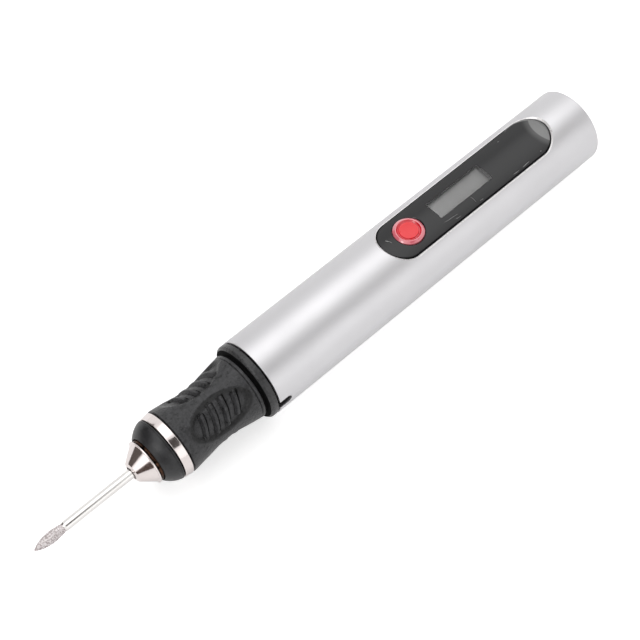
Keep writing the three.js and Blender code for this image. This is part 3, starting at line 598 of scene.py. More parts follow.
    def cut(self, piece: Piece, tool: Piece, operation: str = "DIFFERENCE") -> None:
        """Cuts or joins a tool piece and removes the tool."""
        self.modify(piece, "BOOLEAN", operation=operation, solver="EXACT", object=tool)
        bpy.data.objects.remove(tool)

    def bevel(self, piece: Piece, width: float, segments: int, angle: float = 40.0) -> None:
        """Rounds the edges that are sharper than an angle in degrees."""
        limit = {"limit_method": "ANGLE", "angle_limit": math.radians(angle)}
        self.modify(piece, "BEVEL", width=width * MM, segments=segments, **limit)

    def fit(
        self, piece: Piece, body: str, slot: str, finish: Finish, replaced: Iterable[str] = ()
    ) -> None:
        """Shades and dresses a finished piece and puts it on its body.

        Args:
            piece: The piece, in place.
            body: The body that it rides on.
            slot: The record's material slot; not used.
            finish: What the piece is made of.
            replaced: The nodes that the piece stands for.
        """
        piece.data.materials.clear()
        piece.data.materials.append(finish.material())
        self.pick(piece)
        bpy.ops.object.shade_smooth_by_angle(angle=math.radians(32.0))
        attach(piece, body)
        if replaced:
            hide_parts(*replaced)
        LOG.info("%s: %d faces, %s", piece.name, len(piece.data.polygons), finish.label)


# ---- finishes

# Bead-blasted and anodised aluminium: an even satin with a very fine sparkle and no direction.
BLASTED_ALUMINIUM = Finish(
    "anodised_aluminium_bead_blasted", "D3D2D4", "CDCCCE", 0.46, 1.0, grain=Grain.BLASTED,
    grain_size=0.16, grain_depth=0.006, patch_size=14.0, rough_spread=0.02,
)
# Moulded acrylic printed black from behind, under a clear film that is loose at the rear end:
# deep gloss, and a paler painted reflection there, for the light that the air under it reflects.
BLACK_ACRYLIC = FilmReflectionFinish(
    "acrylic_moulded_black", "2E2E2F", "323233", 0.09, ior=1.36, patch_size=18.0,
    rough_spread=0.02, reflection_centre=(76.95, -0.8, 19.0), reflection_reach=6.8,
)
# The film's lifted edges: hair-thin strips, coloured pale grey as painted glints on the edges.
FILM_EDGE_GLINT = Finish("film_edge_painted_glint", "8C8C8C", "828282", 0.3, patch_size=1.0)
# Clear cast acrylic over the display.
CLEAR_ACRYLIC = Finish(
    "acrylic_cast_clear", "FAFAFA", "F6F6F6", 0.02, ior=1.49, transmission=1.0, rough_spread=0.01
)
# The pane's sawn sides: dark grey as painted shade, so that the display has a darker border.
PANE_SIDE_SHADE = Finish("acrylic_sides_painted_shade", "4E4E4E", "464646", 0.6, ior=1.4, patch_size=4.0)
# Foam adhesive under the panel: soft and dull, and dark as painted shade for the gap round the
# panel.
GAP_SHADE_FOAM = Finish(
    "foam_tape_painted_shade", "0E0E0F", "161617", 0.95, grain=Grain.BLASTED, grain_size=0.25,
    grain_depth=0.03,
)
# The film of a switched-off segment display: flat grey with a slight warm cast.
DISPLAY_FILM = Finish(
    "polarising_film_laminated", "666665", "606060", 0.3, patch_size=9.0, coat=0.4
)
# Lacquered button face: coral red and glossy.
RED_LACQUER = Finish(
    "red_lacquer_sprayed", "F43E44", "EE383E", 0.3, ior=1.42, patch_size=3.0, coat=0.2,
    coat_roughness=0.08,
)
# The bare edge that a diamond tool cuts along the window: a bright narrow line. Its pale,
# only partly metallic colour is painted highlight, which keeps it bright whatever it mirrors.
CUT_EDGE_HIGHLIGHT = Finish("aluminium_cut_painted_highlight", "F2F0F0", "ECEAEA", 0.28, 0.4, patch_size=3.0)
# Clear red acrylic around the button's face: a wet pink rim, and in the groove a deeper red of
# painted shade.
PINK_ACRYLIC = Finish(
    "acrylic_cast_pink", "E87682", "E06A78", 0.12, ior=1.7, patch_size=2.0, coat=1.0,
    coat_roughness=0.04,
)
GROOVE_SHADE_RED = Finish(
    "acrylic_cast_red_painted_shade", "DC2838", "D42232", 0.2, ior=1.49, patch_size=2.0, coat=0.6
)
# Moulded rubber: matt, dark grey, with a fine spark-eroded texture from the mould, and painted
# shade: darker on the dishes' walls and beside the ribs.
RUBBER = PaintedShadeFinish(
    "rubber_moulded", "1E1E1F", "444446", 0.36, ior=1.4, grain=Grain.MOULDED, grain_size=0.5,
    grain_depth=0.14, patch_size=0.9, patch_share=0.9, rough_spread=0.12, sheen=0.03,
)
# Moulded ABS with an eroded texture, as on the collar and the rear cap.
BLACK_ABS = Finish(
    "abs_moulded_textured", "0C0C0D", "2E2E30", 0.33, ior=1.54, grain=Grain.MOULDED,
    grain_size=0.5, grain_depth=0.14, patch_size=0.8, patch_share=0.9, rough_spread=0.1,
)
# The same ABS with painted shade in the collar's groove and on the key in its slot: dull, almost
# black.
SHADED_ABS = Finish(
    "abs_moulded_painted_shade", "0C0C0C", "181819", 0.8, ior=1.15, grain=Grain.MOULDED, grain_size=0.5,
    grain_depth=0.05, patch_size=1.0, patch_share=0.9,
)
# Smooth moulded nylon of the nose cap: satin with a soft shine.
BLACK_NYLON = Finish(
    "nylon_moulded_satin", "111113", "242427", 0.38, grain=Grain.MOULDED, grain_size=0.6,
    grain_depth=0.03, patch_size=1.2, patch_share=0.8,
)
# Bright chromium plating over polished brass.
CHROMIUM = Finish(
    "chromium_plated_polished", "E2DAD8", "DCD3D0", 0.13, 1.0, grain=Grain.TURNED,
    grain_size=0.12, grain_depth=0.0008, patch_size=4.0, rough_spread=0.02,
)
# Turned brass, with near-black patches of painted shade for the dark gap behind the nut.
BRASS = Finish(
    "brass_turned", "5C4234", "080605", 0.42, 1.0, grain=Grain.TURNED, grain_size=0.14,
    grain_depth=0.003, patch_size=1.1, patch_share=1.0, rough_spread=0.1,
)
# Ground and polished tool steel of the shank.
TOOL_STEEL = Finish(
    "tool_steel_ground", "E6E4E2", "DEDBD8", 0.2, 1.0, grain=Grain.TURNED, grain_size=0.1,
    grain_depth=0.0015, patch_size=3.0,
)
# Diamond grains held in nickel plating: a sparkling mauve grey.
DIAMOND_GRIT = Finish(
    "diamond_grit_electroplated", "F8F2F2", "AEA2A2", 0.3, 0.25, grain=Grain.GRIT,
    grain_size=0.34, grain_depth=0.05, patch_size=0.6, patch_share=0.3,
)
# Zinc-plated steel sheet, drawn: the motor can, the switch frame and the inlet's shell.
ZINC_STEEL = Finish(
    "steel_sheet_zinc_plated", "B4B6B8", "A2A4A8", 0.34, 1.0, grain=Grain.BLASTED,
    grain_size=0.5, grain_depth=0.004, patch_size=2.5, rough_spread=0.08,
)
# Glass-fibre board under green solder resist, with the weave just showing.
GREEN_BOARD = Finish(
    "epoxy_board_solder_resist", "1E5C36", "2A7044", 0.38, ior=1.55, grain=Grain.WOVEN,
    grain_size=0.5, grain_depth=0.004, patch_size=3.0,
)
# Heat-shrunk film around the cell: glossy blue, and slightly uneven.
CELL_FILM = Finish(
    "pvc_film_heat_shrunk", "2A62B8", "2458A8", 0.3, ior=1.53, grain=Grain.MOULDED,
    grain_size=1.2, grain_depth=0.01, patch_size=8.0,
)
# Rolled nickel strip of the cell's tabs: a warm, slightly clouded shine.
NICKEL = Finish(
    "nickel_strip_rolled", "C8C4B8", "BCB6A8", 0.3, 1.0, grain=Grain.BLASTED, grain_size=0.3,
    grain_depth=0.003, patch_size=1.5,
)
# Nylon with glass fibre: grey and dull, with a slight grain.
GREY_NYLON = Finish(
    "nylon_glass_filled_moulded", "6E7072", "7A7C7E", 0.6, ior=1.53, grain=Grain.MOULDED,
    grain_size=0.3, grain_depth=0.015, patch_size=4.0,
)
# Ground bearing steel: a cold, clean shine with faint rings.
GROUND_STEEL = Finish(
    "bearing_steel_ground", "C2C2C6", "B6B6BA", 0.16, 1.0, grain=Grain.TURNED, grain_size=0.12,
    grain_depth=0.001, patch_size=2.0,
)
# Sintered ferrite of the magnets: dark and dull, like stoneware.
FERRITE = Finish(
    "ferrite_sintered", "3A3A3D", "48484A", 0.8, ior=1.8, grain=Grain.BLASTED, grain_size=0.25,
    grain_depth=0.02, patch_size=2.0,
)
# Drawn and turned copper: a warm red shine.
COPPER = Finish(
    "copper_drawn", "C07A50", "A8643C", 0.3, 1.0, grain=Grain.TURNED, grain_size=0.2,
    grain_depth=0.003, patch_size=1.5,
)
# The armature's stack of stamped steel: grey, with a line for each sheet.
LAMINATE = Finish(
    "silicon_steel_stacked", "7E7E84", "6A6A70", 0.45, 1.0, grain=Grain.TURNED, grain_size=0.5,
    grain_depth=0.02, patch_size=2.0,
)
# Extruded PVC of the leads: smooth and half shiny.
RED_PVC = Finish("pvc_extruded_red", "B42424", "A01C1C", 0.42, ior=1.53, patch_size=4.0)
BLACK_PVC = Finish("pvc_extruded_black", "1B1B1C", "232324", 0.42, ior=1.53, patch_size=4.0)


# ---- sub-assemblies


@dataclass
class Barrel(Assembly):
    """The aluminium tube with its panel, display and button."""

    length: float = 107.0
    radius: float = 9.975
    bore: float = 9.0
    window_start: float = 41.5
    window_length: float = 54.9
    window_width: float = 11.9
    window_floor: float = 6.6
    # The window's cutter: how far it is grown, and its height over the edge.
    window_steps: tuple[Flat, ...] = ((0.0, -0.4), (1.0, 0.6))
    # The bright edge is narrower on the far side: how much, and from where to where across.
    lip_rise: float = 0.28
    lip_reach: Flat = (2.5, 5.9)
    clear_top: float = 12.0
    notch_front: float = -1.0
    notch_half: float = 1.15
    notch_depths: Flat = (-11.0, -6.0)
    lens_gap: float = 0.36
    lens_floor: float = 7.4
    well_floor: float = 6.0
    crown: float = 9.1
    crown_radius: float = 17.6
    # The bright edge round the window: how far out it lies, and the cosine of its least slope.
    edge_reach: Flat = (0.02, 0.55)
    edge_turn: float = 0.97
    # The gasket's outer and inner outline (start, length, width), and its heights.
    gasket_outer: Point = (41.6, 54.7, 11.7)
    gasket_inner: Point = (43.0, 51.9, 8.9)
    gasket_heights: Flat = (7.12, 7.38)
    button_at: float = 49.9
    # The button's hole, its lead-in and the pocket for its flange: radii, and the pocket's top.
    button_hole: float = 4.0
    button_lead: float = 4.3
    flange_hole: float = 4.6
    flange_top: float = 7.85
    # Radii of the button's face and of the groove around it.
    face_radius: float = 2.34
    groove_radius: float = 3.02
    display_at: float = 66.8
    display_size: Flat = (17.4, 5.4)
    pane_gap: float = 0.05
    pane_sink: float = 0.03
    film_rise: float = 0.04
    film_depth: float = 0.08
    # Each lifted edge of the film: its width, and its places along and across.
    lifted: tuple = (
        (0.24, (43.9, 1.7), (44.15, 1.3), (44.35, 0.9)),
        (0.12, (44.3, 1.0), (44.5, 0.6), (44.6, 0.2)),
        (0.08, (57.9, -3.9), (59.0, -4.1), (60.4, -4.15), (61.8, -4.3)),
        (0.07, (60.6, -4.9), (61.2, -5.05), (62.2, -5.1)),
        (0.06, (67.5, -3.0), (67.7, -3.9), (67.6, -4.8)),
        (0.08, (68.7, -5.15), (69.2, -5.2), (69.7, -5.25)),
        (0.1, (80.2, -5.2), (81.0, -5.3), (82.0, -5.3)),
        (0.14, (83.4, -5.3), (84.4, -5.2), (85.7, -5.15)),
        (0.1, (84.4, 4.2), (84.6, 4.1), (84.8, 4.0)),
        (0.1, (89.9, -4.95), (90.1, -4.95), (90.3, -4.9)),
        (0.1, (94.2, -3.5), (95.0, -2.3), (95.4, -0.9), (95.5, 0.6), (95.2, 2.0), (94.6, 3.1)),
        (
            0.3, (95.42, -2.87), (95.91, -1.77), (96.16, -0.6), (96.16, 0.6), (95.91, 1.77),
            (95.42, 2.87), (94.72, 3.84), (93.82, 4.64), (92.78, 5.24), (91.64, 5.61),
            (90.45, 5.74), (89.26, 5.61), (88.12, 5.24),
        ),
    )

    def lip(self, across: float) -> float:
        """Gives the height from which the window's cutter widens, at a place across."""
        rise = self.lip_rise * smoothstep(*self.lip_reach, across)
        return math.sqrt(self.radius**2 - across**2) + rise

    def crown_at(self, across: float) -> float:
        """Gives the panel's height at a place across it."""
        return self.crown - self.crown_radius + math.sqrt(self.crown_radius**2 - across**2)

    def flared(
        self, name: str, rings: list[tuple[list[Flat], float]], floor: float,
        surface: Callable[[float], float],
    ) -> Piece:
        """Makes a cutter that widens where it leaves a crowned surface.

        Args:
            name: The cutter's name.
            rings: Outlines from above, each with its height over the surface.
            floor: Height of the underside, which has the first outline.
            surface: Gives the surface's height at a place across.

        Returns:
            The closed cutter.
        """
        loops = [[(x, y, floor) for x, y in rings[0][0]]]
        loops += [[(x, y, surface(y) + lift) for x, y in ring] for ring, lift in rings]
        return self.lofted(name, [*loops, [(x, y, self.clear_top) for x, y, _ in loops[-1]]])

    def tube(self) -> None:
        """Spins the tube and cuts its window with a broken edge, and its notch."""
        start, length, width = self.window_start, self.window_length, self.window_width
        front = [(0.0, self.bore, 0.05), (0.0, self.radius, 0.16)]
        rear = [(self.length, self.radius, 0.7), (self.length, self.bore, 0.15)]
        body = self.turned("tube", front + rear, 288)
        rings = [
            (stadium(start - grow, length + 2 * grow, width + 2 * grow, 48), lift)
            for grow, lift in self.window_steps
        ]
        self.cut(body, self.flared("window_cutter", rings, self.window_floor, self.lip))
        notch = tongue(self.notch_front, self.notch_half, 24)
        notch = [[(x, y, z) for x, z in notch] for y in self.notch_depths]
        self.cut(body, self.lofted("notch_cutter", notch))
        self.fit(body, "housing", "satin_aluminium", BLASTED_ALUMINIUM, ["body_tube"])
        # The cut edge's pale colour is partly painted highlight: it stays bright whatever it
        # mirrors.
        body.data.materials.append(CUT_EDGE_HIGHLIGHT.material())
        half = width / 2
        for face, place in self.faces(body):
            radial = Vector((0, place.y, place.z)).normalized()
            nearest = min(max(place.x, start + half), start + length - half)
            reach = math.hypot(place.x - nearest, place.y) - half
            bright = self.edge_reach[0] < reach < self.edge_reach[1] and place.z > 0
            face.material_index = int(bright and face.normal.dot(radial) < self.edge_turn)

    def lens(self) -> None:
        """Makes the crowned panel with the wells of the button and the display."""
        length = self.window_length - 2 * self.lens_gap
        half = self.window_width / 2 - self.lens_gap
        middle = self.window_start + self.lens_gap + length / 2

        def place(u: float, v: float) -> Point:
            """Spreads the grid over the crowned panel."""
            across = half * math.sin(v * math.pi / 2)
            reach = length / 2 - half + math.sqrt(max(half**2 - across**2, 0.0))
            return (middle + u * reach, across, self.crown_at(across))

        def ring(radius: float) -> list[Flat]:
            """Gives a circle about the button."""
            turns = [math.tau * i / 96 for i in range(96)]
            return [(self.button_at + radius * math.cos(t), radius * math.sin(t)) for t in turns]

        panel = self.sheet("panel", (120, 40), place, self.lens_floor)
        self.bevel(panel, 0.14, 3, 50.0)
        rings = [(ring(self.button_hole), -0.1), (ring(self.button_lead), 0.2)]
        self.cut(panel, self.flared("button_well", rings, self.well_floor, self.crown_at))
        heights = (self.well_floor, self.flange_top)
        self.cut(panel, self.prism("flange_pocket", ring(self.flange_hole), heights))
        frame = rounded(*(size / 2 for size in self.display_size), 0.4, 6)
        frame = [(self.display_at + x, y) for x, y in frame]
        self.cut(panel, self.prism("display_well", frame, (self.well_floor, 10.0)))
        # The panel's finish paints a paler reflection near the rear end, where the film is loose.
        self.fit(panel, "housing", "gloss_black_lens", BLACK_ACRYLIC, ["panel_lens"])

    def gasket(self) -> None:
        """Lays the strip of foam that holds the panel and fills the gap's depth with painted
        shade.
        """
        strip = self.prism("panel_gasket", stadium(*self.gasket_outer, 48), self.gasket_heights)
        hole = stadium(*self.gasket_inner, 48)
        self.cut(strip, self.prism("gasket_hole", hole, (6.5, 8.0)))
        self.fit(strip, "housing", "black_plastic", GAP_SHADE_FOAM)

    def display(self) -> None:
        """Makes the display module with its film, seen through the well."""
        steps = ((9.95, 4.15, 6.22), (9.95, 4.15, 6.8), (9.4, 3.6, 6.8), (9.4, 3.6, 7.18))
        loops = [
            [(self.display_at + x, y, z) for x, y in rounded(long, wide, 0.3, 4)]
            for long, wide, z in steps
        ]
        module = self.lofted("display_panel", loops)
        self.bevel(module, 0.05, 2)
        self.fit(module, "housing", "display_grey", DISPLAY_FILM, ["display_module"])

    def display_window(self) -> None:
        """Fills the display's well with clear acrylic, flush with the panel."""
        long, wide = (size / 2 - self.pane_gap for size in self.display_size)

        def place(u: float, v: float) -> Point:
            """Spreads the grid over the well."""
            top = self.crown_at(wide * v) - self.pane_sink
            return (self.display_at + long * u, wide * v, top)

        pane = self.sheet("display_window", (24, 16), place, self.lens_floor + self.pane_gap)
        self.fit(pane, "housing", "display_grey", CLEAR_ACRYLIC)
        # The pane's sides take the dark grey of painted shade, which darkens the display's border.
        pane.data.materials.append(PANE_SIDE_SHADE.material())
        for face in pane.data.polygons:
            face.material_index = int(abs(face.normal.z) < 0.5)

    def film_marks(self) -> None:
        """Raises the hair-thin lifted edges of the film that protects the panel, pale grey as
        painted glints.
        """
        strokes = []
        for number, (width, *path) in enumerate(self.lifted):
            loops = []
            for i, (along, across) in enumerate(path):
                before, after = path[max(i - 1, 0)], path[min(i + 1, len(path) - 1)]
                way = Vector((after[0] - before[0], after[1] - before[1])).normalized()
                half = width / 2 * math.sin(math.pi * (i + 0.5) / len(path))
                side = Vector((-way.y, way.x)) * half
                top = self.crown_at(across) + self.film_rise
                low = top - self.film_depth
                corners = ((1, low), (-1, low), (-1, top), (1, top))
                loops.append([(along + k * side.x, across + k * side.y, up) for k, up in corners])
            strokes.append(self.lofted(f"film_edge_{number}", loops))
        self.pick(*strokes)
        bpy.ops.object.join()
        self.fit(self.named("film_edges"), "housing", "gloss_black_lens", FILM_EDGE_GLINT)

    def button(self) -> None:
        """Turns the button with its flange, cut bevel, groove and domed face."""
        corners = [
            (7.2, 0.0, 0.0), (7.2, 4.35, 0.08), (7.6, 4.35, 0.08), (7.6, 3.7, 0.1),
            (8.95, 3.82, 0.12), (9.42, 3.25, 0.1), (9.4, 3.0, 0.08), (9.02, 2.66, 0.06),
            (9.02, 2.42, 0.05),
            *((9.28 + 0.12 * (1 - (r / 2.3) ** 2), r, 0.0) for r in (2.3, 2.0, 1.5, 1.0, 0.5)),
            (9.4, 0.0, 0.0),
        ]
        knob = self.upright("button", corners, self.button_at, 144)
        self.fit(knob, "button", "button_red", RED_LACQUER, ["power_button"])
        knob.data.materials.append(PINK_ACRYLIC.material())
        knob.data.materials.append(GROOVE_SHADE_RED.material())
        # The groove takes the deeper red of painted shade.
        for face, place in self.faces(knob):
            reach = math.hypot(place.x - self.button_at, place.y)
            face.material_index = (
                1 if reach > self.groove_radius else 2 if reach > self.face_radius else 0
            )

    def build(self) -> None:
        """Builds the barrel's pieces in order."""
        for make in (
            self.tube, self.gasket, self.lens, self.display, self.display_window,
            self.film_marks, self.button,
        ):
            make()


@dataclass
class GripSection(Assembly):
    """The front collar and the rubber grip with its dishes."""

    collar_front: float = -2.9
    collar_crest: float = -2.25
    collar_rear: float = -0.42
    collar_radius: float = 9.9
    collar_waist: float = 7.7
    key_front: float = -1.6
    key_half: float = 0.85
    # The key's depths from the axis, and how much narrower and shorter its outer face is.
    key_depths: Point = (-9.1, -9.6, -9.7)
    key_share: float = 0.88
    key_trim: float = 0.1
    # The collar takes painted shade inside this radius of its groove, and on the key.
    shade_radius: float = 8.75
    bore: float = 6.5
    front: float = -23.8
    rear: float = -3.05
    bead: float = -4.0
    bead_depth: float = 0.26
    bead_sides: Flat = (0.22, 0.05)
    end_round: float = 0.3
    front_radius: float = 8.32
    waist_radius: float = 7.55
    rear_radius: float = 8.55
    # The sleeve's waist: shares of its length from the front, and of the waist's depth there.
    waist_places: tuple[float, ...] = (0.0, 0.17, 0.37, 0.57, 0.8, 1.0)
    waist_shares: tuple[float, ...] = (0.0, 0.5, 1.0, 1.0, 0.55, 0.0)
    # Each dish's angle from straight up in degrees, and the way that its ribs slant.
    dishes: tuple[Flat, ...] = ((43.0, -1), (-43.0, 1), (137.0, -1), (-137.0, 1))
    dish_length: float = 17.6
    dish_width: float = 9.4
    dish_depth: float = 0.88
    # Shares of a dish's size: where its floor begins, and where painted shade darkens its wall.
    dish_floor: float = 0.74
    shade_outer: float = 0.93
    shade_inner: Flat = (0.7, 0.84)
    wall_shade: float = 0.8
    dish_from_rear: float = 9.95
    least_radius: float = 6.74
    rib_shares: tuple[float, ...] = (0.62, 0.78, 0.78, 0.62)
    rib_pitch: float = 3.0
    rib_top: float = 0.17
    rib_slant: float = 1.75
    rib_bow: float = 0.35
    rib_front: Flat = (-0.62, -0.2)
    rib_rear: Flat = (0.54, 0.4)
    rib_ends: Flat = (0.2, -0.3)
    # The grooves beside each rib: place from its middle, width and depth.
    moats: tuple[Point, ...] = ((-0.74, 0.3, 0.12), (0.76, 0.46, 0.3))
    moat_floor: float = 0.02
    moat_shade: Flat = (0.05, 0.5)

    def collar(self) -> None:
        """Turns the collar with its rounded shoulder and joins the key to it."""
        front, crest, rear = self.collar_front, self.collar_crest, self.collar_rear
        waist, radius = self.collar_waist, self.collar_radius
        corners = [
            (front, self.bore, 0.1), (front, waist, 0.1), (crest, waist, 0.1),
            (crest, radius - 0.5, 0.2), (crest + 0.5, radius, 0.6), (rear, radius, 0.2),
            (rear, self.bore, 0.1),
        ]
        body = self.turned("collar", corners, 224, 5)
        key = tongue(self.key_front, self.key_half, 20)
        *sides, face = self.key_depths
        loops = [[(x, depth, z) for x, z in key] for depth in sides]
        trim = self.key_trim
        loops.append([(x if x < 0 else x - trim, face, z * self.key_share) for x, z in key])
        self.cut(body, self.lofted("collar_key", loops), "UNION")
        self.fit(body, "housing", "black_plastic", BLACK_ABS, ["front_collar"])
        body.data.materials.append(SHADED_ABS.material())
        # The groove and the key take the near-black of painted shade.
        for face, place in self.faces(body):
            on_key = place.x > rear + 0.1 and place.y < -self.bore
            in_groove = place.x < crest + 0.1 and math.hypot(*place.yz) < self.shade_radius
            face.material_index = int(on_key or in_groove)

    def sleeve_radius(self, share: float) -> float:
        """Gives the sleeve's radius, on a smooth curve through the waist's table.

        Args:
            share: Place as a share of the sleeve's length from the front.

        Returns:
            The radius in millimetres.
        """
        places, waist = self.waist_places, self.waist_shares
        i = next((i for i in range(len(places) - 2) if share <= places[i + 1]), len(places) - 2)
        t = (share - places[i]) / (places[i + 1] - places[i])
        a, b, c, d = (waist[min(max(k, 0), len(waist) - 1)] for k in range(i - 1, i + 3))
        bend = (2 * a - 5 * b + 4 * c - d) * t**2 + (3 * b - a - 3 * c + d) * t**3
        amount = 0.5 * (2 * b + (c - a) * t + bend)
        end = self.front_radius if share < 0.5 else self.rear_radius
        return end + (self.waist_radius - end) * min(max(amount, 0.0), 1.0)

    def sunk(self, along: float, turn: float, radius: float) -> Flat:
        """Gives how deep the sleeve's surface lies at a place, from its dishes and ribs.

        Args:
            along: Place along the pen.
            turn: Angle from straight up, in radians.
            radius: Radius of the undished sleeve there.

        Returns:
            The depth in millimetres, and how much painted shade darkens the colour there, from 0
            to 1.
        """
        middle = self.rear - self.dish_from_rear
        for degrees, side in self.dishes:
            swing = turn - math.radians(degrees)
            across = radius * math.sin(swing)
            out = 2 * math.hypot((along - middle) / self.dish_length, across / self.dish_width)
            if math.cos(swing) < 0.3 or out >= 1.0:
                continue
            full = min(self.dish_depth, radius - self.least_radius)
            depth = full * smoothstep(1.0, self.dish_floor, out)
            shade_amount = self.wall_shade * smoothstep(1.0, self.shade_outer, out)
            shade_amount *= smoothstep(*self.shade_inner, out)
            for k, share in enumerate(self.rib_shares):
                reach = share * self.dish_width / 2
                spread = across / reach
                line = middle + (k - 1.5) * self.rib_pitch + side * self.rib_slant / 2 * spread
                behind = along - line - self.rib_bow / 2 * (1 - spread**2)
                rise = smoothstep(*self.rib_front, behind) * smoothstep(*self.rib_rear, behind)
                first, last = (reach + end for end in self.rib_ends)
                ends = smoothstep(first, last, abs(across))
                depth -= max(depth - self.rib_top, 0.0) * rise * ends
                for place, width, deep in self.moats:
                    near = ends * smoothstep(width / 2, self.moat_floor, abs(behind - place))
                    depth += deep * near
                    shade_amount = max(shade_amount, smoothstep(*self.moat_shade, near))
            return max(depth, 0.0), shade_amount
        return 0.0, 0.0

    def sleeve(self) -> None:
        """Spins the waisted sleeve and sinks its dishes between the ribs."""
        skin = []
        chords = 200
        for i in range(chords + 1):
            share = i / chords
            along = self.front + share * (self.rear - self.front)
            radius = self.sleeve_radius(share)
            inward = self.end_round - min(along - self.front, self.rear - along)
            if inward > 0:
                radius -= self.end_round - math.sqrt(max(self.end_round**2 - inward**2, 0.0))
            radius -= self.bead_depth * smoothstep(*self.bead_sides, abs(along - self.bead))
            skin.append((along, radius, 0.0))
        ends = [(end, self.bore, 0.0) for end in (self.front, self.rear)]
        sleeve = self.turned("grip_sleeve", [ends[0], *skin, ends[1]], 324)
        shades = [0.0] * len(sleeve.data.vertices)
        for vertex in sleeve.data.vertices:
            along = vertex.co.x / MM - self.edge / MM
            up = (vertex.co.z - self.axis) / MM
            across = vertex.co.y / MM
            radius = math.hypot(up, across)
            if radius < self.bore + 0.5:
                continue
            depth, shades[vertex.index] = self.sunk(along, math.atan2(across, up), radius)
            self.swell(vertex, (radius - depth) / radius)
        # The attribute paints shade on the dishes' walls and beside the ribs.
        shade_amount = sleeve.data.attributes.new("shade_amount", "FLOAT", "POINT")
        shade_amount.data.foreach_set("value", shades)
        self.fit(sleeve, "housing", "black_rubber", RUBBER, ["rubber_grip"])

    def build(self) -> None:
        """Builds the collar and the grip."""
        self.collar()
        self.sleeve()


@dataclass
class Nose(Assembly):
    """The chromed trim ring, the nose cap and the brass ring that closes the bearing seat."""

    bore: float = 6.5

    def trim_ring(self) -> None:
        """Turns the bright ring in front of the grip."""
        front = [(-26.2, self.bore, 0.05), (-26.2, 8.05, 0.16)]
        rear = [(-24.1, 8.33, 0.16), (-24.1, self.bore, 0.05)]
        ring = self.turned("trim_ring_bright", front + rear, 224, 5)
        self.fit(ring, "housing", "chrome", CHROMIUM, ["trim_ring"])

    def cap(self) -> None:
        """Turns the domed cap with its lip and the fine line around it."""
        skin = bowed((-30.1, 5.9), (-28.66, 7.4375), (-27.0, 7.88), 22)
        corners = [
            (-30.1, 5.55, 0.08), (-30.1, 5.9, 0.14), *skin, (-27.0, 7.88, 0.04),
            (-26.95, 7.78, 0.03), (-26.85, 7.78, 0.03), (-26.8, 7.93, 0.05), (-26.5, 7.95, 0.12),
            (-26.5, self.bore, 0.05), (-28.63, self.bore, 0.05), (-29.2, 5.55, 0.05),
        ]
        cap = self.turned("nose_cap_domed", corners, 224)
        self.fit(cap, "housing", "satin_black_plastic", BLACK_NYLON, ["nose_cap"])

    def retainer(self) -> None:
        """Turns the brass ring behind the nut."""
        front = [(-30.65, 3.95, 0.05), (-30.65, 5.3, 0.16)]
        rear = [(-28.75, 5.3, 0.05), (-28.75, 3.95, 0.05)]
        ring = self.turned("retainer_ring", front + rear, 160)
        # The brass's near-black patches are painted shade, for the dark gap behind the nut.
        self.fit(ring, "housing", "brass", BRASS, ["bearing_retainer"])

    def build(self) -> None:
        """Builds the nose's pieces."""
        self.trim_ring()
        self.cap()
        self.retainer()


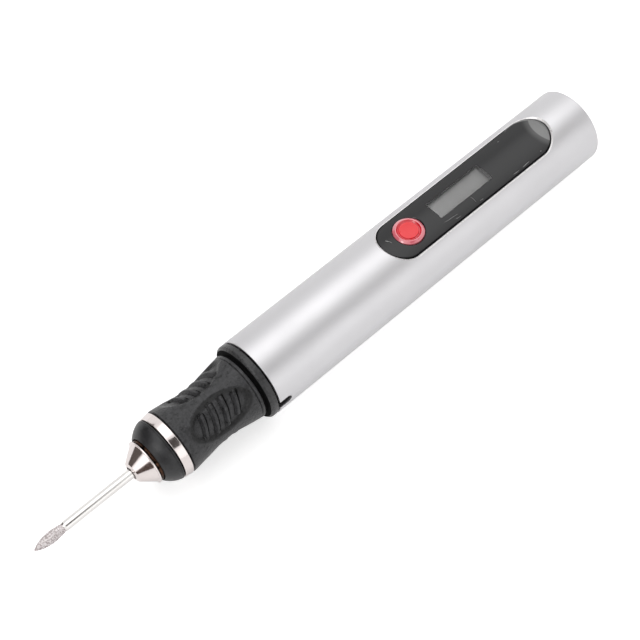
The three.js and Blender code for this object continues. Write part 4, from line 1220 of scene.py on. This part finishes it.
@dataclass
class Chuck(Assembly):
    """The collet nut and the diamond burr."""

    tip: float = -61.5
    head_length: float = 7.9
    head_radius: float = 1.42
    shank_radius: float = 1.175
    burr_length: float = 44.5
    # The head's outline: shares of its length from the tip, and of its radius there.
    head_places: tuple[float, ...] = (0.0, 0.03, 0.13, 0.24, 0.36, 0.5, 0.6, 0.75, 0.9, 1.0)
    head_widths: tuple[float, ...] = (0.18, 0.24, 0.53, 0.75, 0.89, 0.98, 1.0, 0.93, 0.82, 0.74)
    # The grains: their spacing and height, the share of it that each fills, and their bond.
    grain: float = 0.3
    grain_rise: float = 0.12
    grain_reach: float = 0.6
    bond_depth: float = 0.1

    def nut(self) -> None:
        """Turns the nut: a front land, a bulged cone and a thin rim."""
        cone = bowed((-34.7, 2.6), (-33.0, 3.95), (-31.25, 5.2), 16)
        corners = [
            (-35.0, 1.6, 0.06), (-35.0, 2.05, 0.1), (-34.7, 2.6, 0.1), *cone,
            (-31.25, 5.2, 0.05), (-31.25, 5.6, 0.08), (-30.95, 5.6, 0.08), (-30.95, 3.3, 0.1),
            (-32.9, 3.3, 0.0), (-32.9, 2.9, 0.0), (-34.5, 1.85, 0.0), (-34.5, 1.6, 0.04),
        ]
        nut = self.turned("collet_nut_bright", corners, 224)
        self.fit(nut, "nut", "chrome", CHROMIUM, ["collet_nut"])

    def shank(self) -> None:
        """Turns the burr's shank with a chamfered end."""
        front, rear = self.tip + self.head_length, self.tip + self.burr_length
        corners = [
            (front - 0.2, 0.0, 0.0), (front - 0.2, 1.0, 0.0),
            (front + 0.25, self.shank_radius, 0.12), (rear, self.shank_radius, 0.25),
            (rear, 0.0, 0.0),
        ]
        shank = self.turned("burr_shank_ground", corners, 96)
        self.fit(shank, "burr", "polished_steel", TOOL_STEEL, ["burr_shank"])

    def head(self) -> None:
        """Turns the flame-shaped head and raises its grains."""
        knots = list(zip(self.head_places, self.head_widths))
        chords = 14
        shares = [
            [a + (b - a) * k / chords for a, b in zip(start, end)]
            for start, end in zip(knots, knots[1:])
            for k in range(chords)
        ]
        corners = [(self.tip, 0.0, 0.0)]
        for place, width in [*shares, knots[-1]]:
            along = self.tip + place * self.head_length
            corners.append((along, width * self.head_radius - self.bond_depth, 0.0))
        head = self.turned("burr_head_grit", [*corners, (along, 0.0, 0.0)], 160)
        for vertex in head.data.vertices:
            up = vertex.co.z - self.axis
            radius = math.hypot(up, vertex.co.y)
            if radius < 0.1 * MM:
                continue
            place = Vector((vertex.co.x, vertex.co.y, up)) / (self.grain * MM)
            gap = noise.voronoi(place)[0][0]
            rise = self.grain_rise * MM * max(0.0, 1.0 - gap / self.grain_reach)
            self.swell(vertex, (radius + rise) / radius)
        self.fit(head, "burr", "diamond_grit", DIAMOND_GRIT, ["burr_head"])

    def build(self) -> None:
        """Builds the nut and the burr."""
        self.nut()
        self.shank()
        self.head()


@dataclass
class RearEnd(Assembly):
    """The recessed rear cap with the charging inlet."""

    rear: float = 106.4
    radius: float = 8.7
    slot_size: Flat = (9.5, 3.8)
    shell_size: Flat = (8.9, 3.2)
    foot: float = 98.65
    # The contact blade's half sizes across and up, each with its place behind the foot.
    blade: tuple[Point, ...] = ((0.6, 3.3, 0.35), (5.4, 3.3, 0.35), (5.6, 3.2, 0.25))

    def slotted(self, name: str, size: Flat, steps: Sequence[Flat]) -> Piece:
        """Extrudes a slot outline with round ends, wide across the pen.

        Args:
            name: The piece's name.
            size: The outline's width and height.
            steps: Places along the pen, each with how much larger both sizes are there.

        Returns:
            The closed piece.
        """
        loops = []
        for along, grow in steps:
            wide, high = size[0] + grow, size[1] + grow
            loops.append([(along, y, z) for y, z in stadium(-wide / 2, wide, high, 16)])
        return self.lofted(name, loops)

    def cap(self) -> None:
        """Turns the cap and cuts the inlet's slot with a lead-in."""
        corners = [
            (100.2, 7.8, 0.05), (100.2, self.radius, 0.05), (self.rear, self.radius, 0.35),
            (self.rear, 0.0, 0.0), (104.2, 0.0, 0.0), (104.2, 7.8, 0.05),
        ]
        body = self.turned("rear_cap_disc", corners)
        steps = ((103.0, 0.0), (self.rear - 0.25, 0.0), (self.rear + 0.25, 1.0))
        self.cut(body, self.slotted("inlet_slot", self.slot_size, steps))
        self.fit(body, "housing", "black_plastic", BLACK_ABS, ["rear_cap"])

    def inlet(self) -> None:
        """Makes the drawn shell and the contact tongue of the inlet."""
        size = self.shell_size
        shell = self.slotted("inlet_shell", size, ((98.2, 0.0), (105.6, 0.0)))
        steps = ((98.55, -0.7), (105.4, -0.7), (105.7, -0.4))
        self.cut(shell, self.slotted("inlet_hollow", size, steps))
        self.fit(shell, "housing", "zinc_steel", ZINC_STEEL, ["charge_socket_shell"])
        base = self.slotted("inlet_tongue", size, ((self.foot, -0.9), (self.foot + 1.2, -0.9)))
        loops = [
            [(self.foot + along, y, z) for y, z in rounded(wide, high, 0.08, 3)]
            for along, wide, high in self.blade
        ]
        self.cut(base, self.lofted("inlet_blade", loops), "UNION")
        self.fit(base, "housing", "black_plastic", BLACK_ABS, ["charge_socket_tongue"])

    def build(self) -> None:
        """Builds the rear end."""
        self.cap()
        self.inlet()


# The nodes that stay, by what they are made of.
INSIDE: dict[Finish, str] = {
    GREEN_BOARD: "main_board charge_board",
    ZINC_STEEL: "switch_base board_screw_front board_screw_rear motor_can",
    BLACK_ABS: "switch_plunger grip_core",
    CELL_FILM: "battery_cell",
    NICKEL: "cell_tab_front cell_tab_rear",
    GREY_NYLON: "battery_cradle motor_end_bell",
    GROUND_STEEL: "spindle collet motor_shaft front_bearing_outer front_bearing_inner"
    " rear_bearing_outer rear_bearing_inner",
    BRASS: "front_bearing_balls rear_bearing_balls shaft_coupling",
    FERRITE: "motor_magnet_upper motor_magnet_lower",
    COPPER: "motor_brush_left motor_brush_right motor_commutator",
    LAMINATE: "motor_armature",
    RED_PVC: "motor_lead_red charge_lead_red",
    BLACK_PVC: "motor_lead_black charge_lead_black",
}


def dress_inside(nodes: dict[str, Piece]) -> None:
    """Gives each inner node that stays its real material.

    Args:
        nodes: The frame's nodes by name.
    """
    for finish, names in INSIDE.items():
        for name in names.split():
            for slot in nodes[name].material_slots:
                slot.material = finish.material()
            LOG.info("%s: kept, %s", name, finish.label)


# ---- stage


@dataclass(frozen=True)
class Lamp:
    """One soft area lamp that aims at the origin, with its place in metres."""

    name: str
    place: Point
    size: Flat
    watts: float


@dataclass(frozen=True)
class Glow:
    """One softly brighter part of the even light all round, such as a diffuser's middle."""

    way: Point
    stretch: float
    inner: float
    outer: float
    gain: float


@dataclass(frozen=True)
class Card:
    """One dark card that gives bright metal something to mirror, with its place in metres."""

    name: str
    place: Point
    aim: Point
    size: Flat
    shade: str


@dataclass
class Studio:
    """The pale floor, the soft light, the dark cards and the camera."""

    camera_place: Point = (-0.12228, -0.138665, 0.299395)
    right: Point = (0.73155, -0.68146, -0.02105)
    up: Point = (0.58296, 0.60921, 0.53760)
    lens: float = 83.136
    world_strength: float = 0.62
    floor_shade: float = 0.85
    floor_glow: float = 0.3
    floor_seen: float = 0.6
    lamps: tuple[Lamp, ...] = (
        Lamp("lamp_overhead", (-0.1, 0.45, 0.75), (0.7, 0.5), 1.6),
        Lamp("lamp_low_side", (0.33, -0.85, 0.26), (0.8, 0.3), 0.4),
    )
    glows: tuple[Glow, ...] = (
        Glow((0.1, 0.23, 0.97), 0.4, 4.0, 30.0, 1.0),
        Glow((0.1, -0.92, 0.28), 0.4, 4.0, 26.0, 0.42),
        Glow((-0.78, -0.12, 0.6), 1.0, 10.0, 28.0, 0.6),
        Glow((-0.8, -0.08, 0.6), 1.0, 3.0, 9.0, 4.4),
    )
    cards: tuple[Card, ...] = (
        Card("card_over_nose", (-0.1, -0.5, 0.75), (0.0, 0.0, 0.0), (0.42, 0.5), "5C5856"),
        Card("card_over_tube", (0.65, -0.5, 0.75), (0.1, 0.0, 0.0), (0.8, 0.34), "B8B4B2"),
        Card("card_front_left", (-0.6, 0.78, 0.3), (0.0, 0.0, 0.0), (1.1, 0.98), "746C68"),
        Card("card_front", (-1.0, -0.7, 0.27), (0.0, -0.7, 0.27), (0.7, 0.54), "60504A"),
    )

    def camera(self) -> None:
        """Stands the camera where the photograph was taken."""
        right, up = Vector(self.right).normalized(), Vector(self.up)
        up = (up - right * up.dot(right)).normalized()
        data = bpy.data.cameras.new("camera")
        data.lens = self.lens
        data.sensor_width = 36.0
        data.clip_start, data.clip_end = 0.01, 10.0
        seat = bpy.data.objects.new("camera", data)
        turn = Matrix((right, up, right.cross(up))).transposed().to_4x4()
        seat.matrix_world = Matrix.Translation(self.camera_place) @ turn
        bpy.context.collection.objects.link(seat)
        bpy.context.scene.camera = seat

    def met_by(self, tree: Tree, *rays: str) -> Socket:
        """Tells rays of some kinds from the others.

        Args:
            tree: The tree that takes the nodes.
            rays: The outputs of the light path that count.

        Returns:
            The socket of 1 on a ray of these kinds, and of 0 on another.
        """
        met, *others = (add_node(tree, "LightPath", output=name) for name in rays)
        for other in others:
            met = add_node(tree, "Math", {"operation": "MAXIMUM"}, {0: met, 1: other})
        return met

    def plane(self, name: str, size: float, paint: str, shade: Iterable[float]) -> Piece:
        """Lays a matt square on the ground.

        Args:
            name: The square's name.
            size: The length of its sides, in metres.
            paint: The name of its material.
            shade: The linear colour of the material.

        Returns:
            The square, with its material in its first slot.
        """
        bpy.ops.object.select_all(action="DESELECT")
        bpy.ops.mesh.primitive_plane_add(size=size)
        piece = bpy.context.object
        piece.name = name
        made = bpy.data.materials.new(paint)
        made.use_nodes = True
        shader = made.node_tree.nodes["Principled BSDF"]
        shader.inputs["Base Color"].default_value = shade
        shader.inputs["Roughness"].default_value = 0.9
        piece.data.materials.append(made)
        return piece

    def floor(self) -> None:
        """Lays the wide pale floor, which the camera and the reflections see as white."""
        shade = (*[self.floor_shade] * 3, 1.0)
        floor = self.plane("floor", 6.0, "paper_white_matt", shade)
        tree = floor.data.materials[0].node_tree
        shader = tree.nodes["Principled BSDF"]
        shader.inputs["Specular IOR Level"].default_value = 0.0
        shader.inputs["Emission Color"].default_value = (1.0, 1.0, 1.0, 1.0)
        mirrored = self.met_by(tree, "Is Transmission Ray", "Is Glossy Ray")
        seen = self.met_by(tree, "Is Camera Ray")
        glow = add_node(tree, "Math", {"operation": "MULTIPLY", 1: self.floor_glow}, {0: mirrored})
        shares = {"operation": "MULTIPLY_ADD", 1: self.floor_seen}
        glow = add_node(tree, "Math", shares, {0: seen, 2: glow})
        tree.links.new(glow, shader.inputs["Emission Strength"])

    def hang_cards(self) -> None:
        """Hangs the dark cards, which only reflections and light meet."""
        for card in self.cards:
            piece = self.plane(card.name, 1.0, "card_painted_matt", linear(card.shade))
            aim = Vector(card.aim) - Vector(card.place)
            turn = aim.to_track_quat("Z", "Y").to_matrix().to_4x4()
            spread = Matrix.Diagonal((*card.size, 1.0, 1.0))
            piece.data.transform(Matrix.Translation(card.place) @ turn @ spread)
            piece.visible_camera = False

    def hang_lamps(self) -> None:
        """Hangs the lamps, which no bright metal mirrors."""
        for lamp in self.lamps:
            data = bpy.data.lights.new(lamp.name, "AREA")
            data.shape = "RECTANGLE"
            data.size, data.size_y = lamp.size
            data.energy = lamp.watts
            seat = bpy.data.objects.new(lamp.name, data)
            seat.location = lamp.place
            seat.rotation_euler = (-Vector(lamp.place)).to_track_quat("-Z", "Y").to_euler()
            seat.visible_glossy = False
            bpy.context.collection.objects.link(seat)

    def light_world(self) -> None:
        """Sets the even light all round, brighter in the glows."""
        world = bpy.data.worlds.new("studio")
        bpy.context.scene.world = world
        world.use_nodes = True
        tree = world.node_tree
        shade = tree.nodes["Background"]
        shade.inputs["Color"].default_value = (1.0, 1.0, 1.0, 1.0)
        seen = self.met_by(tree, "Is Camera Ray", "Is Glossy Ray", "Is Transmission Ray")
        level = add_node(tree, "Mix", {2: self.world_strength, 3: 1.0}, {0: seen})
        way = add_node(tree, "TexCoord", output="Generated")
        strength = level
        for glow in self.glows:
            stretch = Vector((glow.stretch, 1.0, 1.0))
            aim = tuple((Vector(glow.way) * stretch).normalized())
            wide = {"operation": "MULTIPLY", 1: tuple(stretch)}
            drawn = add_node(tree, "VectorMath", wide, {0: way})
            drawn = add_node(tree, "VectorMath", {"operation": "NORMALIZE"}, {0: drawn})
            near = {"operation": "DOT_PRODUCT", 1: aim}
            near = add_node(tree, "VectorMath", near, {0: drawn}, "Value")
            fade = {
                "interpolation_type": "SMOOTHSTEP", "To Max": glow.gain,
                "From Min": math.cos(math.radians(glow.outer)),
                "From Max": math.cos(math.radians(glow.inner)),
            }
            part = add_node(tree, "MapRange", fade, {"Value": near})
            sums = {0: level, 1: part, 2: strength}
            strength = add_node(tree, "Math", {"operation": "MULTIPLY_ADD"}, sums)
        tree.links.new(strength, shade.inputs["Strength"])

    def build(self) -> None:
        """Builds the stage."""
        self.camera()
        self.floor()
        self.hang_cards()
        self.hang_lamps()
        self.light_world()
        bpy.context.scene.view_settings.view_transform = "Standard"


def main() -> None:
    """Builds the stage and then the pen, piece by piece."""
    logging.basicConfig(level=logging.INFO, format="%(name)s %(message)s")
    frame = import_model()
    Studio().build()
    low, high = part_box("body_tube")
    for section in (Barrel, GripSection, Nose, Chuck, RearEnd):
        section(low.x, (low.z + high.z) / 2).build()
    dress_inside(frame["nodes"])


if __name__ == "__main__":
    main()
